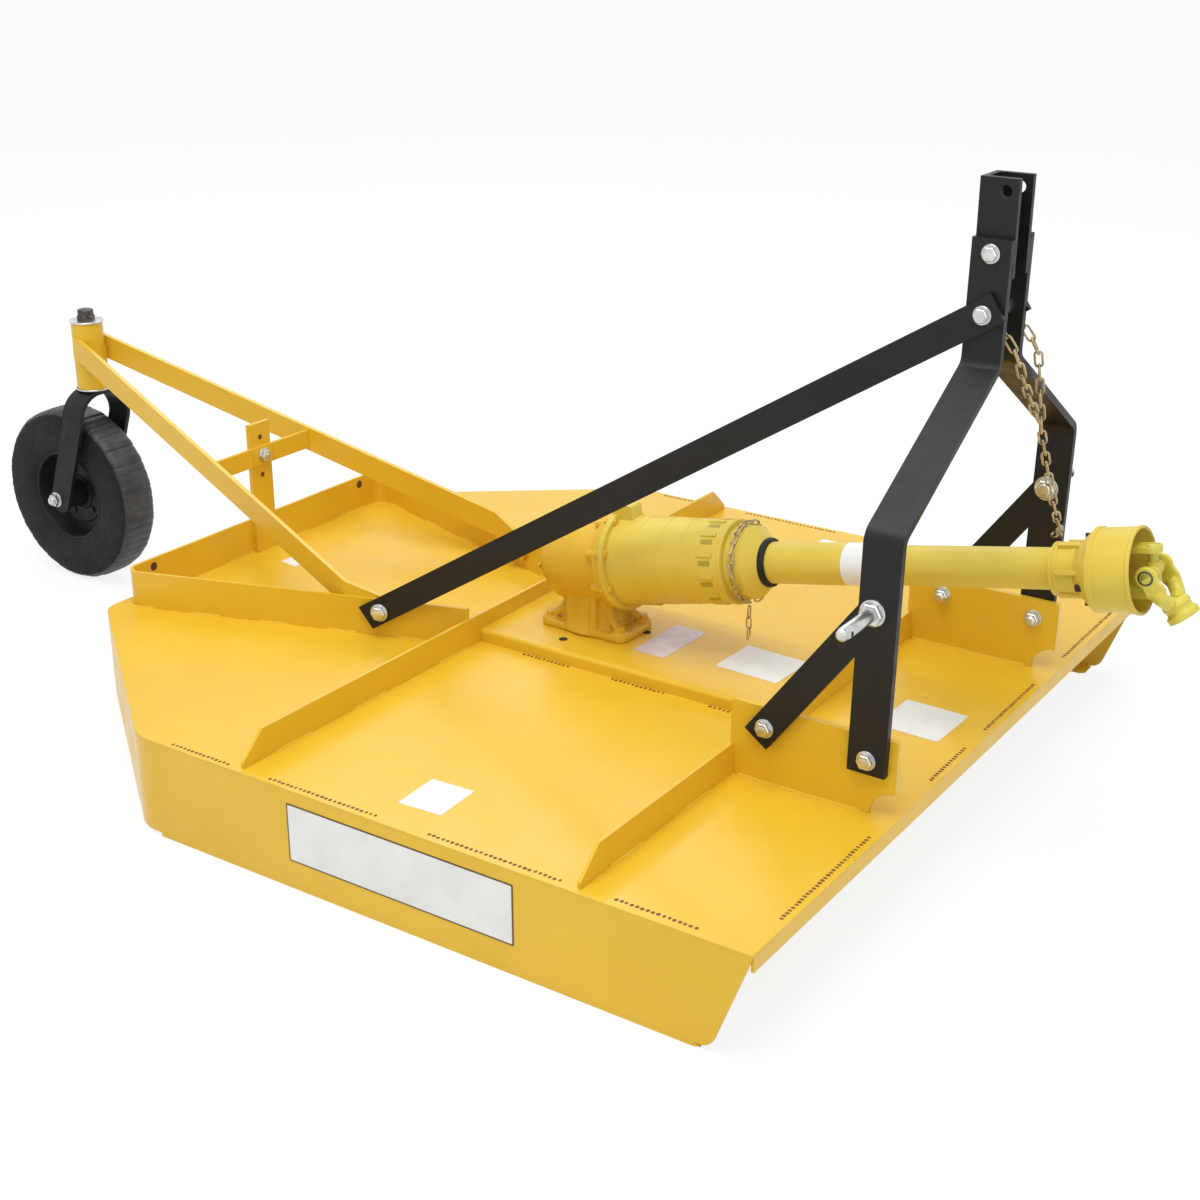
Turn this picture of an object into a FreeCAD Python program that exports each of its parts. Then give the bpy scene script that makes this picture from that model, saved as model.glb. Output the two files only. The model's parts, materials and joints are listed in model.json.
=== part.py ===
"""Rotary cutter for a tractor's three-point hitch, as separate pieces in millimetres.

X points forward to the tractor, Y to the machine's left and Z up from the ground.
Lengths along X are measured from the deck's front edge, and FRAME_SHIFT moves the
finished pieces so that the frame's origin lies under the middle of the machine.
"""
import math
import os

import FreeCAD
import Part

Vec = FreeCAD.Vector
ZERO = Vec(0, 0, 0)
AXIS_X = Vec(1, 0, 0)
AXIS_Y = Vec(0, 1, 0)
AXIS_Z = Vec(0, 0, 1)
FRAME_SHIFT = 1069.82

# Clearances: flat faces that bolt together, a pin in its hole, a loose piece on its seat.
FACE_GAP = 0.02
PIN_FIT = 0.05
LOOSE_GAP = 0.3

# Deck, its side bands and its wear shoes.
DECK_TOP = 185.0
DECK_THICKNESS = 4.0
DECK_HALF_WIDTH = 800.0
DECK_SIDE_LENGTH = 1218.0
DECK_LENGTH = 1704.0
DECK_REAR_HALF = 430.0
DECK_BEND_R = 90.0
DECK_CORNER_R = 45.0
REAR_OPENING_HALF = 380.0
BAND_THICKNESS = 5.0
BAND_RAKE = 64.0
BAND_TOE_R = 28.0
FRONT_LIP_DEPTH = 26.0
REAR_LIP_DEPTH = 40.0
SHOE_THICKNESS = 7.0
SHOE_WIDTH = 40.0
SHOE_LENGTH = 1085.0
SHOE_NOSE = 12.0

# Stiffening ribs across the deck and the channel between them.
FRONT_RIB_X = -299.0
REAR_RIB_X = -978.0
RIB_THICKNESS = 6.0
RIB_HEIGHT = 55.0
RIB_END_GAP = 13.0
RIB_END_HEIGHT = 10.0
RIB_END_SLOPE = 50.0
CHANNEL_HALF = 143.0
CHANNEL_HEIGHT = 25.0
CHANNEL_THICKNESS = 6.0

# Hitch: upright brackets, legs that lean forward, struts, braces and the top clevis.
BRACKET_OUTER = 344.65
BRACKET_THICKNESS = 10.0
BRACKET_HEIGHT = 135.0
BRACKET_SETBACK = 5.0
BRACKET_NOTCH_R = 44.0
LEG_WIDTH = 65.0
LEG_THICKNESS = 12.7
LEG_FOOT_X = -52.5
LEG_HEAD_X = -40.0
LEG_FOOT_RISE = 74.0
LEG_BEND_RISE = 468.0
LEG_NECK_RISE = 661.0
LEG_HEAD_RISE = 861.0
LEG_BEND_R = 18.0
LEG_TOP_HALF = 39.35
FOOT_BOLT_RISE = 98.0
UPPER_BOLT_RISE = 838.0
LOWER_BOLT_RISE = 744.0
HITCH_BOLT_R = 9.5
HITCH_NUT_R = 15.0
HITCH_NUT_HEIGHT = 15.0
HITCH_HEAD_HEIGHT = 12.0
LIFT_PIN_X = -55.0
LIFT_PIN_RISE = 347.0
LIFT_PIN_R = 11.0
LIFT_PIN_REACH = 110.0
LIFT_COLLAR_R = 22.0
LIFT_COLLAR_THICKNESS = 6.0
LIFT_NUT_R = 19.0
STRUT_FOOT_X = -233.0
STRUT_FOOT_RISE = 104.0
STRUT_WIDTH = 50.0
FLAT_BAR_WIDTH = 50.0
FLAT_BAR_THICKNESS = 10.0
BAR_END = 28.0
CLEVIS_HEIGHT = 152.0
CLEVIS_LENGTH = 64.0
CLEVIS_WALL = 10.0
CLEVIS_SIDE_GAP = 0.5
CLEVIS_BELOW_BOLT = 38.0
TOP_LINK_R = 9.6
TOP_LINK_FORWARD = 11.0
TOP_LINK_RISE = 94.0

# Tail frame round the rear of the deck, with its post, crossbar and arms.
TAIL_FRONT_HALF = 170.3
TAIL_REAR_HALF = 397.8
TAIL_REAR_SETBACK = 21.0
TAIL_BAR_HEIGHT = 75.0
TAIL_BAR_THICKNESS = 6.0
TAIL_BOLT_X = -1150.0
TAIL_BOLT_RISE = 52.0
POST_WIDTH = 60.0
POST_THICKNESS = 10.0
POST_ABOVE_BAR = 70.0
CROSSBAR_HEIGHT = 40.0
CROSSBAR_THICKNESS = 8.0

# Tail wheel, its fork and the tube that it swivels in.
TAIL_REACH = 481.0
CASTER_TRAIL = 81.0
SWIVEL_R = 35.0
SWIVEL_LENGTH = 150.0
SWIVEL_PIN_R = 15.9
WASHER_R = 37.0
WASHER_THICKNESS = 4.0
WASHER_GAP = 0.1
CAP_NUT_R = 17.0
CAP_NUT_HEIGHT = 23.0
TYRE_R = 205.0
TYRE_HALF = 50.0
TYRE_TOP_GAP = 48.0
TYRE_SIDE_GAP = 14.0
RIM_R = 104.0
RIM_LIP = 4.0
HUB_R = 26.0
HUB_HALF = 56.0
FORK_THICKNESS = 10.0
FORK_WIDTH = 60.0
AXLE_R = 9.5
AXLE_NUT_R = 15.0
AXLE_NUT_HEIGHT = 15.0

# Gearbox on the channel, above the rotor.
ROTOR_AHEAD = 178.0
FOOT_LENGTH = 194.0
FOOT_WIDTH = 114.0
FOOT_HEIGHT = 14.0
COLUMN_FOOT_R = 52.0
COLUMN_HEAD_R = 47.0
COLUMN_RIB_R = 9.0
OUTPUT_R = 55.0
OUTPUT_DROP = 50.0
BODY_R = 80.0
FLANGE_R = 88.0

# Drive line: starts at the guard's rear rim and climbs forward. Lengths are along it.
LINE_FORWARD = 78.0
LINE_RISE = 152.0
LINE_ANGLE = 11.0
FLANGE_S = -12.0
GUARD_RIM_R = 95.0
GUARD_R = 85.0
GUARD_WALL = 5.0
GUARD_LENGTH = 243.0
GUARD_END_R = 75.0
CONE_R = 67.0
CONE_TAPER_S = 277.0
CONE_NOSE_S = 299.0
CONE_NOSE_R = 43.5
CONE_WALL = 3.0
COLLAR_S = 256.0
REAR_TUBE_R = 37.5
REAR_TUBE_END_S = 521.0
FRONT_TUBE_R = 34.55
FRONT_TUBE_START_S = 327.0
TUBE_WALL = 4.0
BELL_S = 836.0
BELL_NECK_LENGTH = 43.0
BELL_FLARE_LENGTH = 24.0
BELL_MOUTH_LENGTH = 73.0
BELL_NECK_R = 43.0
BELL_R = 70.0
BELL_WALL = 3.5
DISC_THICKNESS = 10.0
SHAFT_R = 20.0
SHAFT_START_S = 300.0

# Universal joint at the tractor end and the yoke that hangs from it.
JOINT_AHEAD = 17.5
YOKE_DROOP = 60.0
EAR_SPAN = 42.0
EAR_THICKNESS = 10.0
EAR_R = 16.0
EAR_CORNER_R = 28.0
THROAT_CORNER_R = 16.0
EAR_DEPTH = 50.0
EAR_ROOT = 60.0
CROSS_R = 8.0
CAP_R = 12.0
YOKE_HUB_R = 27.0
YOKE_HUB_LENGTH = 28.0
YOKE_BORE_R = 17.5
YOKE_RELIEF_R = 12.0

# Rotor under the deck, with its two swinging blades.
SPINDLE_R = 25.0
SPINDLE_FOOT = 62.0
PAN_Z = 88.0
PAN_THICKNESS = 6.0
PAN_R = 308.0
PAN_FLAT_R = 248.0
PAN_RISE = 28.0
PAN_HUB_R = 48.0
PAN_HUB_HEIGHT = 34.0
BLADE_PIVOT_R = 210.0
BLADE_TIP_R = 762.0
BLADE_WIDTH = 80.0
BLADE_THICKNESS = 12.0
BLADE_DROP = 18.0
BLADE_GAP = 2.5
BLADE_BOLT_R = 16.0

# Chains: inside length and width of a link, and its wire.
HITCH_LINK = (26.0, 8.0, 4.0)
GUARD_LINK = (21.5, 6.0, 3.0)
CHAIN_SLACK = 0.8
GUARD_CHAIN_S = 262.0
GUARD_CHAIN_LINKS = 21
GUARD_CHAIN_START = math.radians(-110)

DECK_UNDER = DECK_TOP - DECK_THICKNESS
CHANNEL_TOP = DECK_TOP + CHANNEL_HEIGHT
LEG_OUTER = BRACKET_OUTER + LEG_THICKNESS
UPPER_BOLT = (LEG_HEAD_X, DECK_TOP + UPPER_BOLT_RISE)
LOWER_BOLT = (LEG_HEAD_X - 2.0, DECK_TOP + LOWER_BOLT_RISE)
LIFT_PIN = (LIFT_PIN_X, DECK_TOP + LIFT_PIN_RISE)
STRUT_FOOT = (STRUT_FOOT_X, DECK_TOP + STRUT_FOOT_RISE)
TAIL_BOLT = (TAIL_BOLT_X, DECK_TOP + TAIL_BOLT_RISE)
TAIL_REAR_X = TAIL_REAR_SETBACK - DECK_LENGTH
SWIVEL_X = -DECK_LENGTH - TAIL_REACH
AXLE_X = SWIVEL_X - CASTER_TRAIL
FORK_TOP = 2 * TYRE_R + TYRE_TOP_GAP + FORK_THICKNESS
FORK_HALF = TYRE_HALF + TYRE_SIDE_GAP + FORK_THICKNESS
SWIVEL_FOOT = FORK_TOP + WASHER_THICKNESS
SWIVEL_HEAD = SWIVEL_FOOT + SWIVEL_LENGTH
ROTOR_X = REAR_RIB_X + ROTOR_AHEAD
SPINDLE_TOP = CHANNEL_TOP - 11
BELL_FLARE_S = BELL_S + BELL_NECK_LENGTH
BELL_FULL_S = BELL_FLARE_S + BELL_FLARE_LENGTH
BELL_RIM_S = BELL_FULL_S + BELL_MOUTH_LENGTH
JOINT_S = BELL_RIM_S + JOINT_AHEAD
LINE_START = Vec(ROTOR_X + LINE_FORWARD, 0, CHANNEL_TOP + LINE_RISE)


def rounded_face(corners):
    """Flat face in the XY plane from rows of x, y, corner radius."""
    joins = []
    count = len(corners)
    for i in range(count):
        x0, y0 = corners[i - 1][:2]
        x1, y1, radius = corners[i]
        x2, y2 = corners[(i + 1) % count][:2]
        corner = Vec(x1, y1, 0)
        if radius == 0:
            joins.append((corner, None, corner))
            continue
        to_last = Vec(x0 - x1, y0 - y1, 0).normalize()
        to_next = Vec(x2 - x1, y2 - y1, 0).normalize()
        half = to_last.getAngle(to_next) / 2
        reach = radius / math.tan(half)
        inward = (to_last + to_next).normalize()
        middle = corner + inward * (radius / math.sin(half) - radius)
        joins.append((corner + to_last * reach, middle, corner + to_next * reach))
    edges = []
    for i in range(count):
        start, middle, end = joins[i]
        if middle:
            edges.append(Part.Arc(start, middle, end).toShape())
        following = joins[(i + 1) % count][0]
        if end.distanceToPoint(following) > 1e-6:
            edges.append(Part.LineSegment(end, following).toShape())
    return Part.Face(Part.Wire(edges))


def prism(plane, corners, low, high):
    """Solid of an outline in plane xy, xz or yz, between low and high on the third axis."""
    rows = [tuple(row) + (0,) * (3 - len(row)) for row in corners]
    face = rounded_face(rows)
    if plane == "xy":
        normal = AXIS_Z
    elif plane == "xz":
        face.rotate(ZERO, AXIS_X, 90)
        normal = AXIS_Y
    else:
        face.rotate(ZERO, Vec(1, 1, 1), 120)
        normal = AXIS_X
    face.translate(normal * low)
    return face.extrude(normal * (high - low))


def strip(points, thickness, bend):
    """Outline rows of a strip of even thickness along a line of points."""
    left = []
    right = []
    last = len(points) - 1
    for i in range(len(points)):
        here = Vec(points[i][0], points[i][1], 0)
        before = Vec(points[max(i, 1) - 1][0], points[max(i, 1) - 1][1], 0)
        begun = Vec(points[max(i, 1)][0], points[max(i, 1)][1], 0)
        after_i = min(i, last - 1)
        after = Vec(points[after_i + 1][0], points[after_i + 1][1], 0)
        leaving = Vec(points[after_i][0], points[after_i][1], 0)
        run_in = (begun - before).normalize()
        run_out = (after - leaving).normalize()
        normal_in = Vec(-run_in.y, run_in.x, 0)
        normal_out = Vec(-run_out.y, run_out.x, 0)
        mitre = (normal_in + normal_out).normalize()
        reach = thickness / 2 / mitre.dot(normal_in)
        turn = run_in.cross(run_out).z
        inside = bend if i not in (0, last) else 0
        outside = bend + thickness if i not in (0, last) else 0
        a = here + mitre * reach
        b = here - mitre * reach
        left.append((a.x, a.y, inside if turn > 0 else outside))
        right.append((b.x, b.y, outside if turn > 0 else inside))
    return left + right[::-1]


def band(start, end, width, over_start, over_end):
    """Outline rows of a straight bar about a line, running past both of its ends."""
    a = Vec(start[0], start[1], 0)
    b = Vec(end[0], end[1], 0)
    along = (b - a).normalize()
    side = Vec(-along.y, along.x, 0) * (width / 2)
    a = a - along * over_start
    b = b + along * over_end
    corners = [a + side, b + side, b - side, a - side]
    return [(c.x, c.y, 0) for c in corners]


def box(x0, x1, y0, y1, z0, z1):
    return Part.makeBox(x1 - x0, y1 - y0, z1 - z0, Vec(x0, y0, z0))


def rod(start, end, radius):
    """Cylinder between two points."""
    a = Vec(*start)
    b = Vec(*end)
    return Part.makeCylinder(radius, a.distanceToPoint(b), a, b - a)


def turned(profile, axis, centre):
    """Solid of revolution about the x, y or z axis from rows of position, radius."""
    face = Part.Face(Part.makePolygon([Vec(p, r, 0) for p, r in profile + profile[:1]]))
    solid = face.revolve(ZERO, AXIS_X, 360)
    if axis == "y":
        solid.rotate(ZERO, AXIS_Z, 90)
    elif axis == "z":
        solid.rotate(ZERO, AXIS_Y, -90)
    solid.translate(Vec(*centre))
    return solid


def fused(pieces):
    whole = pieces[0]
    for piece in pieces[1:]:
        whole = whole.fuse(piece)
    return whole.removeSplitter()


def mirrored(shape):
    """The same piece on the other side of the machine."""
    return shape.mirror(ZERO, AXIS_Y)


def on_line(shape):
    """Move a piece built along X from the origin onto the inclined drive line."""
    shape.rotate(ZERO, AXIS_Y, -LINE_ANGLE)
    shape.translate(LINE_START)
    return shape


def line_point(along, side, up):
    """Point given by its place along the drive line, sideways and square above it."""
    angle = math.radians(LINE_ANGLE)
    x = along * math.cos(angle) - up * math.sin(angle)
    z = along * math.sin(angle) + up * math.cos(angle)
    return LINE_START + Vec(x, side, z)


def leg_x(z):
    """Middle of a leaning leg's width at a height."""
    share = (z - DECK_TOP - LEG_FOOT_RISE) / (LEG_HEAD_RISE - LEG_FOOT_RISE)
    return LEG_FOOT_X + share * (LEG_HEAD_X - LEG_FOOT_X)


TAIL_SLOPE = (TAIL_REAR_HALF - TAIL_FRONT_HALF) / (REAR_RIB_X - TAIL_REAR_X)


def side_bar_y(x):
    """Distance of a tail side bar's middle from the machine's centre line."""
    return TAIL_FRONT_HALF + TAIL_SLOPE * (REAR_RIB_X - x)


def bolted_y(x, side):
    """Middle of a flat bar bolted outside (1) or inside (-1) the tail's side bar."""
    slant = math.hypot(1, TAIL_SLOPE)
    step = (TAIL_BAR_THICKNESS / 2 + FLAT_BAR_THICKNESS / 2 + FACE_GAP) * slant
    return side_bar_y(x) + side * step


def deck_outline(inset):
    """Outline rows of the deck, drawn in by an inset on every edge but the front."""
    slope = math.atan2(DECK_HALF_WIDTH - DECK_REAR_HALF, DECK_LENGTH - DECK_SIDE_LENGTH)
    half = DECK_HALF_WIDTH - inset
    bend_x = -DECK_SIDE_LENGTH + inset * math.tan(slope / 2)
    rear_x = -DECK_LENGTH + inset
    rear_half = DECK_REAR_HALF - inset * math.tan(math.pi / 4 - slope / 2)
    bend_r = DECK_BEND_R - inset
    corner_r = DECK_CORNER_R - inset
    return [
        (0, -half, 0), (0, half, 0), (bend_x, half, bend_r), (rear_x, rear_half, corner_r),
        (rear_x, -rear_half, corner_r), (bend_x, -half, bend_r),
    ]


def deck_pieces():
    """Top plate, open under the gearbox, with its front and rear lips."""
    plate = prism("xy", deck_outline(0), DECK_UNDER, DECK_TOP)
    hole_r = OUTPUT_R + 1
    plate = plate.cut(rod((ROTOR_X, 0, DECK_UNDER - 1), (ROTOR_X, 0, DECK_TOP + 1), hole_r))
    lip_half = DECK_HALF_WIDTH - BAND_THICKNESS
    front = box(-BAND_THICKNESS, 0, -lip_half, lip_half, DECK_UNDER - FRONT_LIP_DEPTH, DECK_UNDER)
    rear = box(-DECK_LENGTH, BAND_THICKNESS - DECK_LENGTH, -REAR_OPENING_HALF, REAR_OPENING_HALF,
               DECK_UNDER - REAR_LIP_DEPTH, DECK_UNDER)
    return {"deck_plate": plate, "deck_edges": Part.makeCompound([front, rear])}


def skirt():
    """Right-hand side band, with its front edge raked and rounded at the toe."""
    ring = prism("xy", deck_outline(0), SHOE_THICKNESS, DECK_UNDER)
    ring = ring.cut(prism("xy", deck_outline(BAND_THICKNESS), 0, DECK_TOP))
    rear = -DECK_LENGTH - 1
    outline = [
        (rear, SHOE_THICKNESS, 0), (-BAND_RAKE, SHOE_THICKNESS, BAND_TOE_R),
        (0, DECK_UNDER, 0), (rear, DECK_UNDER, 0),
    ]
    return ring.common(prism("xz", outline, -DECK_HALF_WIDTH - 1, -REAR_OPENING_HALF))


def skid():
    """Right-hand wear shoe under the band, its toe tucked up inside the band."""
    toe = -BAND_RAKE - BAND_TOE_R
    outline = [
        (toe - SHOE_LENGTH, 0, 0), (toe, 0, 0), (toe + SHOE_NOSE, SHOE_THICKNESS / 2, 0),
        (toe, SHOE_THICKNESS, 0), (toe - SHOE_LENGTH, SHOE_THICKNESS, 0),
    ]
    return prism("xz", outline, -DECK_HALF_WIDTH, SHOE_WIDTH - DECK_HALF_WIDTH)


def ribs():
    """Upright ribs across the deck; the hitch brackets pass through the front one."""
    half = RIB_THICKNESS / 2
    top = DECK_TOP + RIB_HEIGHT
    shoulder = DECK_TOP + RIB_END_HEIGHT
    end = DECK_HALF_WIDTH - RIB_END_GAP
    crest = end - RIB_END_SLOPE
    outline = [
        (-end, DECK_TOP), (end, DECK_TOP), (end, shoulder), (crest, top), (-crest, top), (-end, shoulder),
    ]
    rear = prism("yz", outline, REAR_RIB_X - half, REAR_RIB_X + half)
    front = prism("yz", outline, FRONT_RIB_X - half, FRONT_RIB_X + half)
    for plate in (bracket(), mirrored(bracket())):
        front = front.cut(plate)
    return {"rear_rib": rear, "front_rib": front}


def centre_channel():
    """Low inverted channel that carries the gearbox between the two ribs."""
    half = CHANNEL_HALF
    inner = half - CHANNEL_THICKNESS
    under = CHANNEL_TOP - CHANNEL_THICKNESS
    bend = CHANNEL_THICKNESS + 2
    section = [
        (-half, DECK_TOP, 0), (-half, CHANNEL_TOP, bend), (half, CHANNEL_TOP, bend), (half, DECK_TOP, 0),
        (inner, DECK_TOP, 0), (inner, under, 2), (-inner, under, 2), (-inner, DECK_TOP, 0),
    ]
    rib = RIB_THICKNESS / 2
    channel = prism("yz", section, REAR_RIB_X + rib, FRONT_RIB_X - rib)
    return channel.cut(rod((ROTOR_X, 0, DECK_TOP), (ROTOR_X, 0, CHANNEL_TOP + 1), OUTPUT_R + 1))


def bracket():
    """Right-hand upright plate, notched at its front foot, that the leg and strut bolt to."""
    rear = FRONT_RIB_X - RIB_THICKNESS / 2
    top = DECK_TOP + BRACKET_HEIGHT
    outline = [
        (rear, DECK_TOP, 0), (-BRACKET_SETBACK, DECK_TOP, 0), (-BRACKET_SETBACK, top, 6), (rear, top, 6),
    ]
    plate = prism("xz", outline, -BRACKET_OUTER, BRACKET_THICKNESS - BRACKET_OUTER)
    outside = (-BRACKET_SETBACK, -BRACKET_OUTER - 1, DECK_TOP)
    inside = (-BRACKET_SETBACK, BRACKET_THICKNESS - BRACKET_OUTER + 1, DECK_TOP)
    return plate.cut(rod(outside, inside, BRACKET_NOTCH_R))


def leg_side():
    """The right leg's leaning outline seen from the side, as a wide block."""
    foot = (LEG_FOOT_X, DECK_TOP + LEG_FOOT_RISE)
    head = (LEG_HEAD_X, DECK_TOP + LEG_HEAD_RISE)
    return prism("xz", band(foot, head, LEG_WIDTH, 0, 0), -2 * LEG_OUTER, 0)


def leg():
    """Right-hand hitch upright, a flat bar bent inwards to the top."""
    foot = LEG_OUTER - LEG_THICKNESS / 2
    path = [
        (-foot, DECK_TOP), (-foot, DECK_TOP + LEG_BEND_RISE),
        (-LEG_TOP_HALF, DECK_TOP + LEG_NECK_RISE), (-LEG_TOP_HALF, DECK_TOP + LEG_HEAD_RISE + 50),
    ]
    front = prism("yz", strip(path, LEG_THICKNESS, LEG_BEND_R), 2 * LEG_FOOT_X, -LEG_FOOT_X)
    bar = front.common(leg_side())
    x, z = LIFT_PIN
    bar = bar.cut(rod((x, -LEG_OUTER - 1, z), (x, 1 - BRACKET_OUTER, z), LIFT_PIN_R))
    for x, z in (UPPER_BOLT, LOWER_BOLT):
        bar = bar.cut(rod((x, -2 * LEG_TOP_HALF, z), (x, 0, z), HITCH_BOLT_R))
    return bar


def strut():
    """Right-hand diagonal from the rear foot bolt up to the leg's rear edge."""
    outline = band(STRUT_FOOT, LIFT_PIN, STRUT_WIDTH, BAR_END, 0)
    bar = prism("xz", outline, -LEG_OUTER, -BRACKET_OUTER)
    return bar.cut(leg_side()).cut(box(LEG_FOOT_X, 0, -2 * LEG_OUTER, 0, 0, 2 * LIFT_PIN[1]))


def lift_pin():
    """Right-hand lower-link pin with its collar and inner nut."""
    x, z = LIFT_PIN
    pin = rod((x, -LEG_OUTER - LIFT_PIN_REACH, z), (x, LEG_THICKNESS - BRACKET_OUTER, z), LIFT_PIN_R)
    collar = rod((x, -LEG_OUTER - LIFT_COLLAR_THICKNESS, z), (x, -LEG_OUTER, z), LIFT_COLLAR_R)
    nut = rod((x, -BRACKET_OUTER, z), (x, LEG_THICKNESS - BRACKET_OUTER, z), LIFT_NUT_R)
    return fused([pin, collar, nut])


def brace():
    """Right-hand long flat bar from the hitch top to the tail frame."""
    outer = LEG_TOP_HALF + LEG_THICKNESS / 2 + FLAT_BAR_THICKNESS / 2 + FACE_GAP
    lead = FLAT_BAR_WIDTH
    x0 = LOWER_BOLT[0]
    path = [
        (x0 + lead, -outer), (x0 - lead, -outer),
        (TAIL_BOLT_X + lead, -bolted_y(TAIL_BOLT_X + lead, 1)),
        (TAIL_BOLT_X - lead, -bolted_y(TAIL_BOLT_X - lead, 1)),
    ]
    plan = prism("xy", strip(path, FLAT_BAR_THICKNESS, 12), DECK_TOP, 2 * LOWER_BOLT[1])
    side = prism("xz", band(LOWER_BOLT, TAIL_BOLT, FLAT_BAR_WIDTH, BAR_END, BAR_END), -DECK_HALF_WIDTH, 0)
    x, z = LOWER_BOLT
    return plan.common(side).cut(rod((x, -2 * outer, z), (x, 0, z), HITCH_BOLT_R))


def top_clevis():
    """U-shaped top-link clevis, open to the front, swinging on the upper bolt."""
    x, z = UPPER_BOLT
    half = LEG_TOP_HALF - LEG_THICKNESS / 2 - CLEVIS_SIDE_GAP
    rear = x - CLEVIS_LENGTH / 2
    front = x + CLEVIS_LENGTH / 2
    low = z - CLEVIS_BELOW_BOLT
    high = low + CLEVIS_HEIGHT
    inner = half - CLEVIS_WALL
    shell = box(rear, front, -half, half, low, high)
    shell = shell.cut(box(rear + CLEVIS_WALL, front + 1, -inner, inner, low - 1, high + 1))
    shell = shell.cut(rod((x, -half - 1, z), (x, half + 1, z), HITCH_BOLT_R + PIN_FIT))
    hole_x = x + TOP_LINK_FORWARD
    hole_z = z + TOP_LINK_RISE
    return shell.cut(rod((hole_x, -half - 1, hole_z), (hole_x, half + 1, hole_z), TOP_LINK_R))


def hitch_bolts():
    """Upper and lower bolts through both legs, the lower one with its spacer."""
    face = LEG_TOP_HALF + LEG_THICKNESS / 2
    pieces = []
    for (x, z), outer in [(UPPER_BOLT, face), (LOWER_BOLT, face + FLAT_BAR_THICKNESS + 2 * FACE_GAP)]:
        shank = rod((x, -outer - HITCH_HEAD_HEIGHT, z), (x, outer + HITCH_NUT_HEIGHT + 5, z), HITCH_BOLT_R)
        head = rod((x, -outer - HITCH_HEAD_HEIGHT, z), (x, -outer, z), HITCH_NUT_R)
        nut = rod((x, outer, z), (x, outer + HITCH_NUT_HEIGHT, z), HITCH_NUT_R)
        pieces.append(fused([shank, head, nut]))
    x, z = LOWER_BOLT
    inner = LEG_TOP_HALF - LEG_THICKNESS / 2
    pieces[1] = fused([pieces[1], rod((x, -inner, z), (x, inner, z), HITCH_NUT_R + 1)])
    return Part.makeCompound(pieces)


def tail_frame():
    """Flat bar on edge, bent round the rear of the deck, ending at the rear rib."""
    front = REAR_RIB_X + RIB_THICKNESS
    path = [
        (front, -side_bar_y(front)), (TAIL_REAR_X, -TAIL_REAR_HALF),
        (TAIL_REAR_X, TAIL_REAR_HALF), (front, side_bar_y(front)),
    ]
    bar = prism("xy", strip(path, TAIL_BAR_THICKNESS, 24), DECK_TOP, DECK_TOP + TAIL_BAR_HEIGHT)
    stop = REAR_RIB_X - RIB_THICKNESS / 2
    return bar.cut(box(stop, 0, -DECK_HALF_WIDTH, DECK_HALF_WIDTH, 0, 2 * DECK_TOP + TAIL_BAR_HEIGHT))


def swivel_tube():
    wall = rod((SWIVEL_X, 0, SWIVEL_FOOT), (SWIVEL_X, 0, SWIVEL_HEAD), SWIVEL_R)
    bore = rod((SWIVEL_X, 0, SWIVEL_FOOT - 1), (SWIVEL_X, 0, SWIVEL_HEAD + 1), SWIVEL_PIN_R + PIN_FIT)
    return wall.cut(bore)


ARM_HEAD = (SWIVEL_X + SWIVEL_R, (SWIVEL_FOOT + SWIVEL_HEAD) / 2 + 8)


def arm_z(x):
    """Height of a tail arm's middle."""
    share = (x - TAIL_BOLT[0]) / (ARM_HEAD[0] - TAIL_BOLT[0])
    return TAIL_BOLT[1] + share * (ARM_HEAD[1] - TAIL_BOLT[1])


def tail_arm():
    """Right-hand flat bar from the swivel tube's side to the side bar's inner face."""
    lead = FLAT_BAR_WIDTH
    bend_x = TAIL_BOLT_X - 1.5 * lead
    path = [
        (SWIVEL_X - lead / 4, FLAT_BAR_THICKNESS / 2 - SWIVEL_R), (bend_x, -bolted_y(bend_x, -1)),
        (TAIL_BOLT_X + lead, -bolted_y(TAIL_BOLT_X + lead, -1)),
    ]
    plan = prism("xy", strip(path, FLAT_BAR_THICKNESS, 12), 0, 2 * SWIVEL_HEAD)
    side = prism("xz", band(ARM_HEAD, TAIL_BOLT, FLAT_BAR_WIDTH, lead, BAR_END), -DECK_HALF_WIDTH, 0)
    return plan.common(side).cut(rod((SWIVEL_X, 0, 0), (SWIVEL_X, 0, 2 * SWIVEL_HEAD), SWIVEL_R))


def tail_pieces():
    """Frame, arms, swivel tube and the post with its crossbar."""
    right = tail_arm()
    left = mirrored(right)
    post_x = TAIL_REAR_X + TAIL_BAR_THICKNESS / 2
    bar_x = post_x + POST_THICKNESS
    middle = arm_z(bar_x + CROSSBAR_THICKNESS / 2)
    half = CROSSBAR_HEIGHT / 2
    reach = side_bar_y(bar_x)
    post = box(post_x, bar_x, -POST_WIDTH / 2, POST_WIDTH / 2, DECK_TOP, middle + POST_ABOVE_BAR)
    crossbar = box(bar_x, bar_x + CROSSBAR_THICKNESS, -reach, reach, middle - half, middle + half)
    crossbar = crossbar.cut(right).cut(left)
    crossbar = min(crossbar.Solids, key=lambda solid: abs(solid.CenterOfMass.y))
    return {
        "tail_frame": tail_frame(), "tail_post": post, "tail_crossbar": crossbar,
        "tail_arms": Part.makeCompound([right, left]), "swivel_tube": swivel_tube(),
    }


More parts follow.
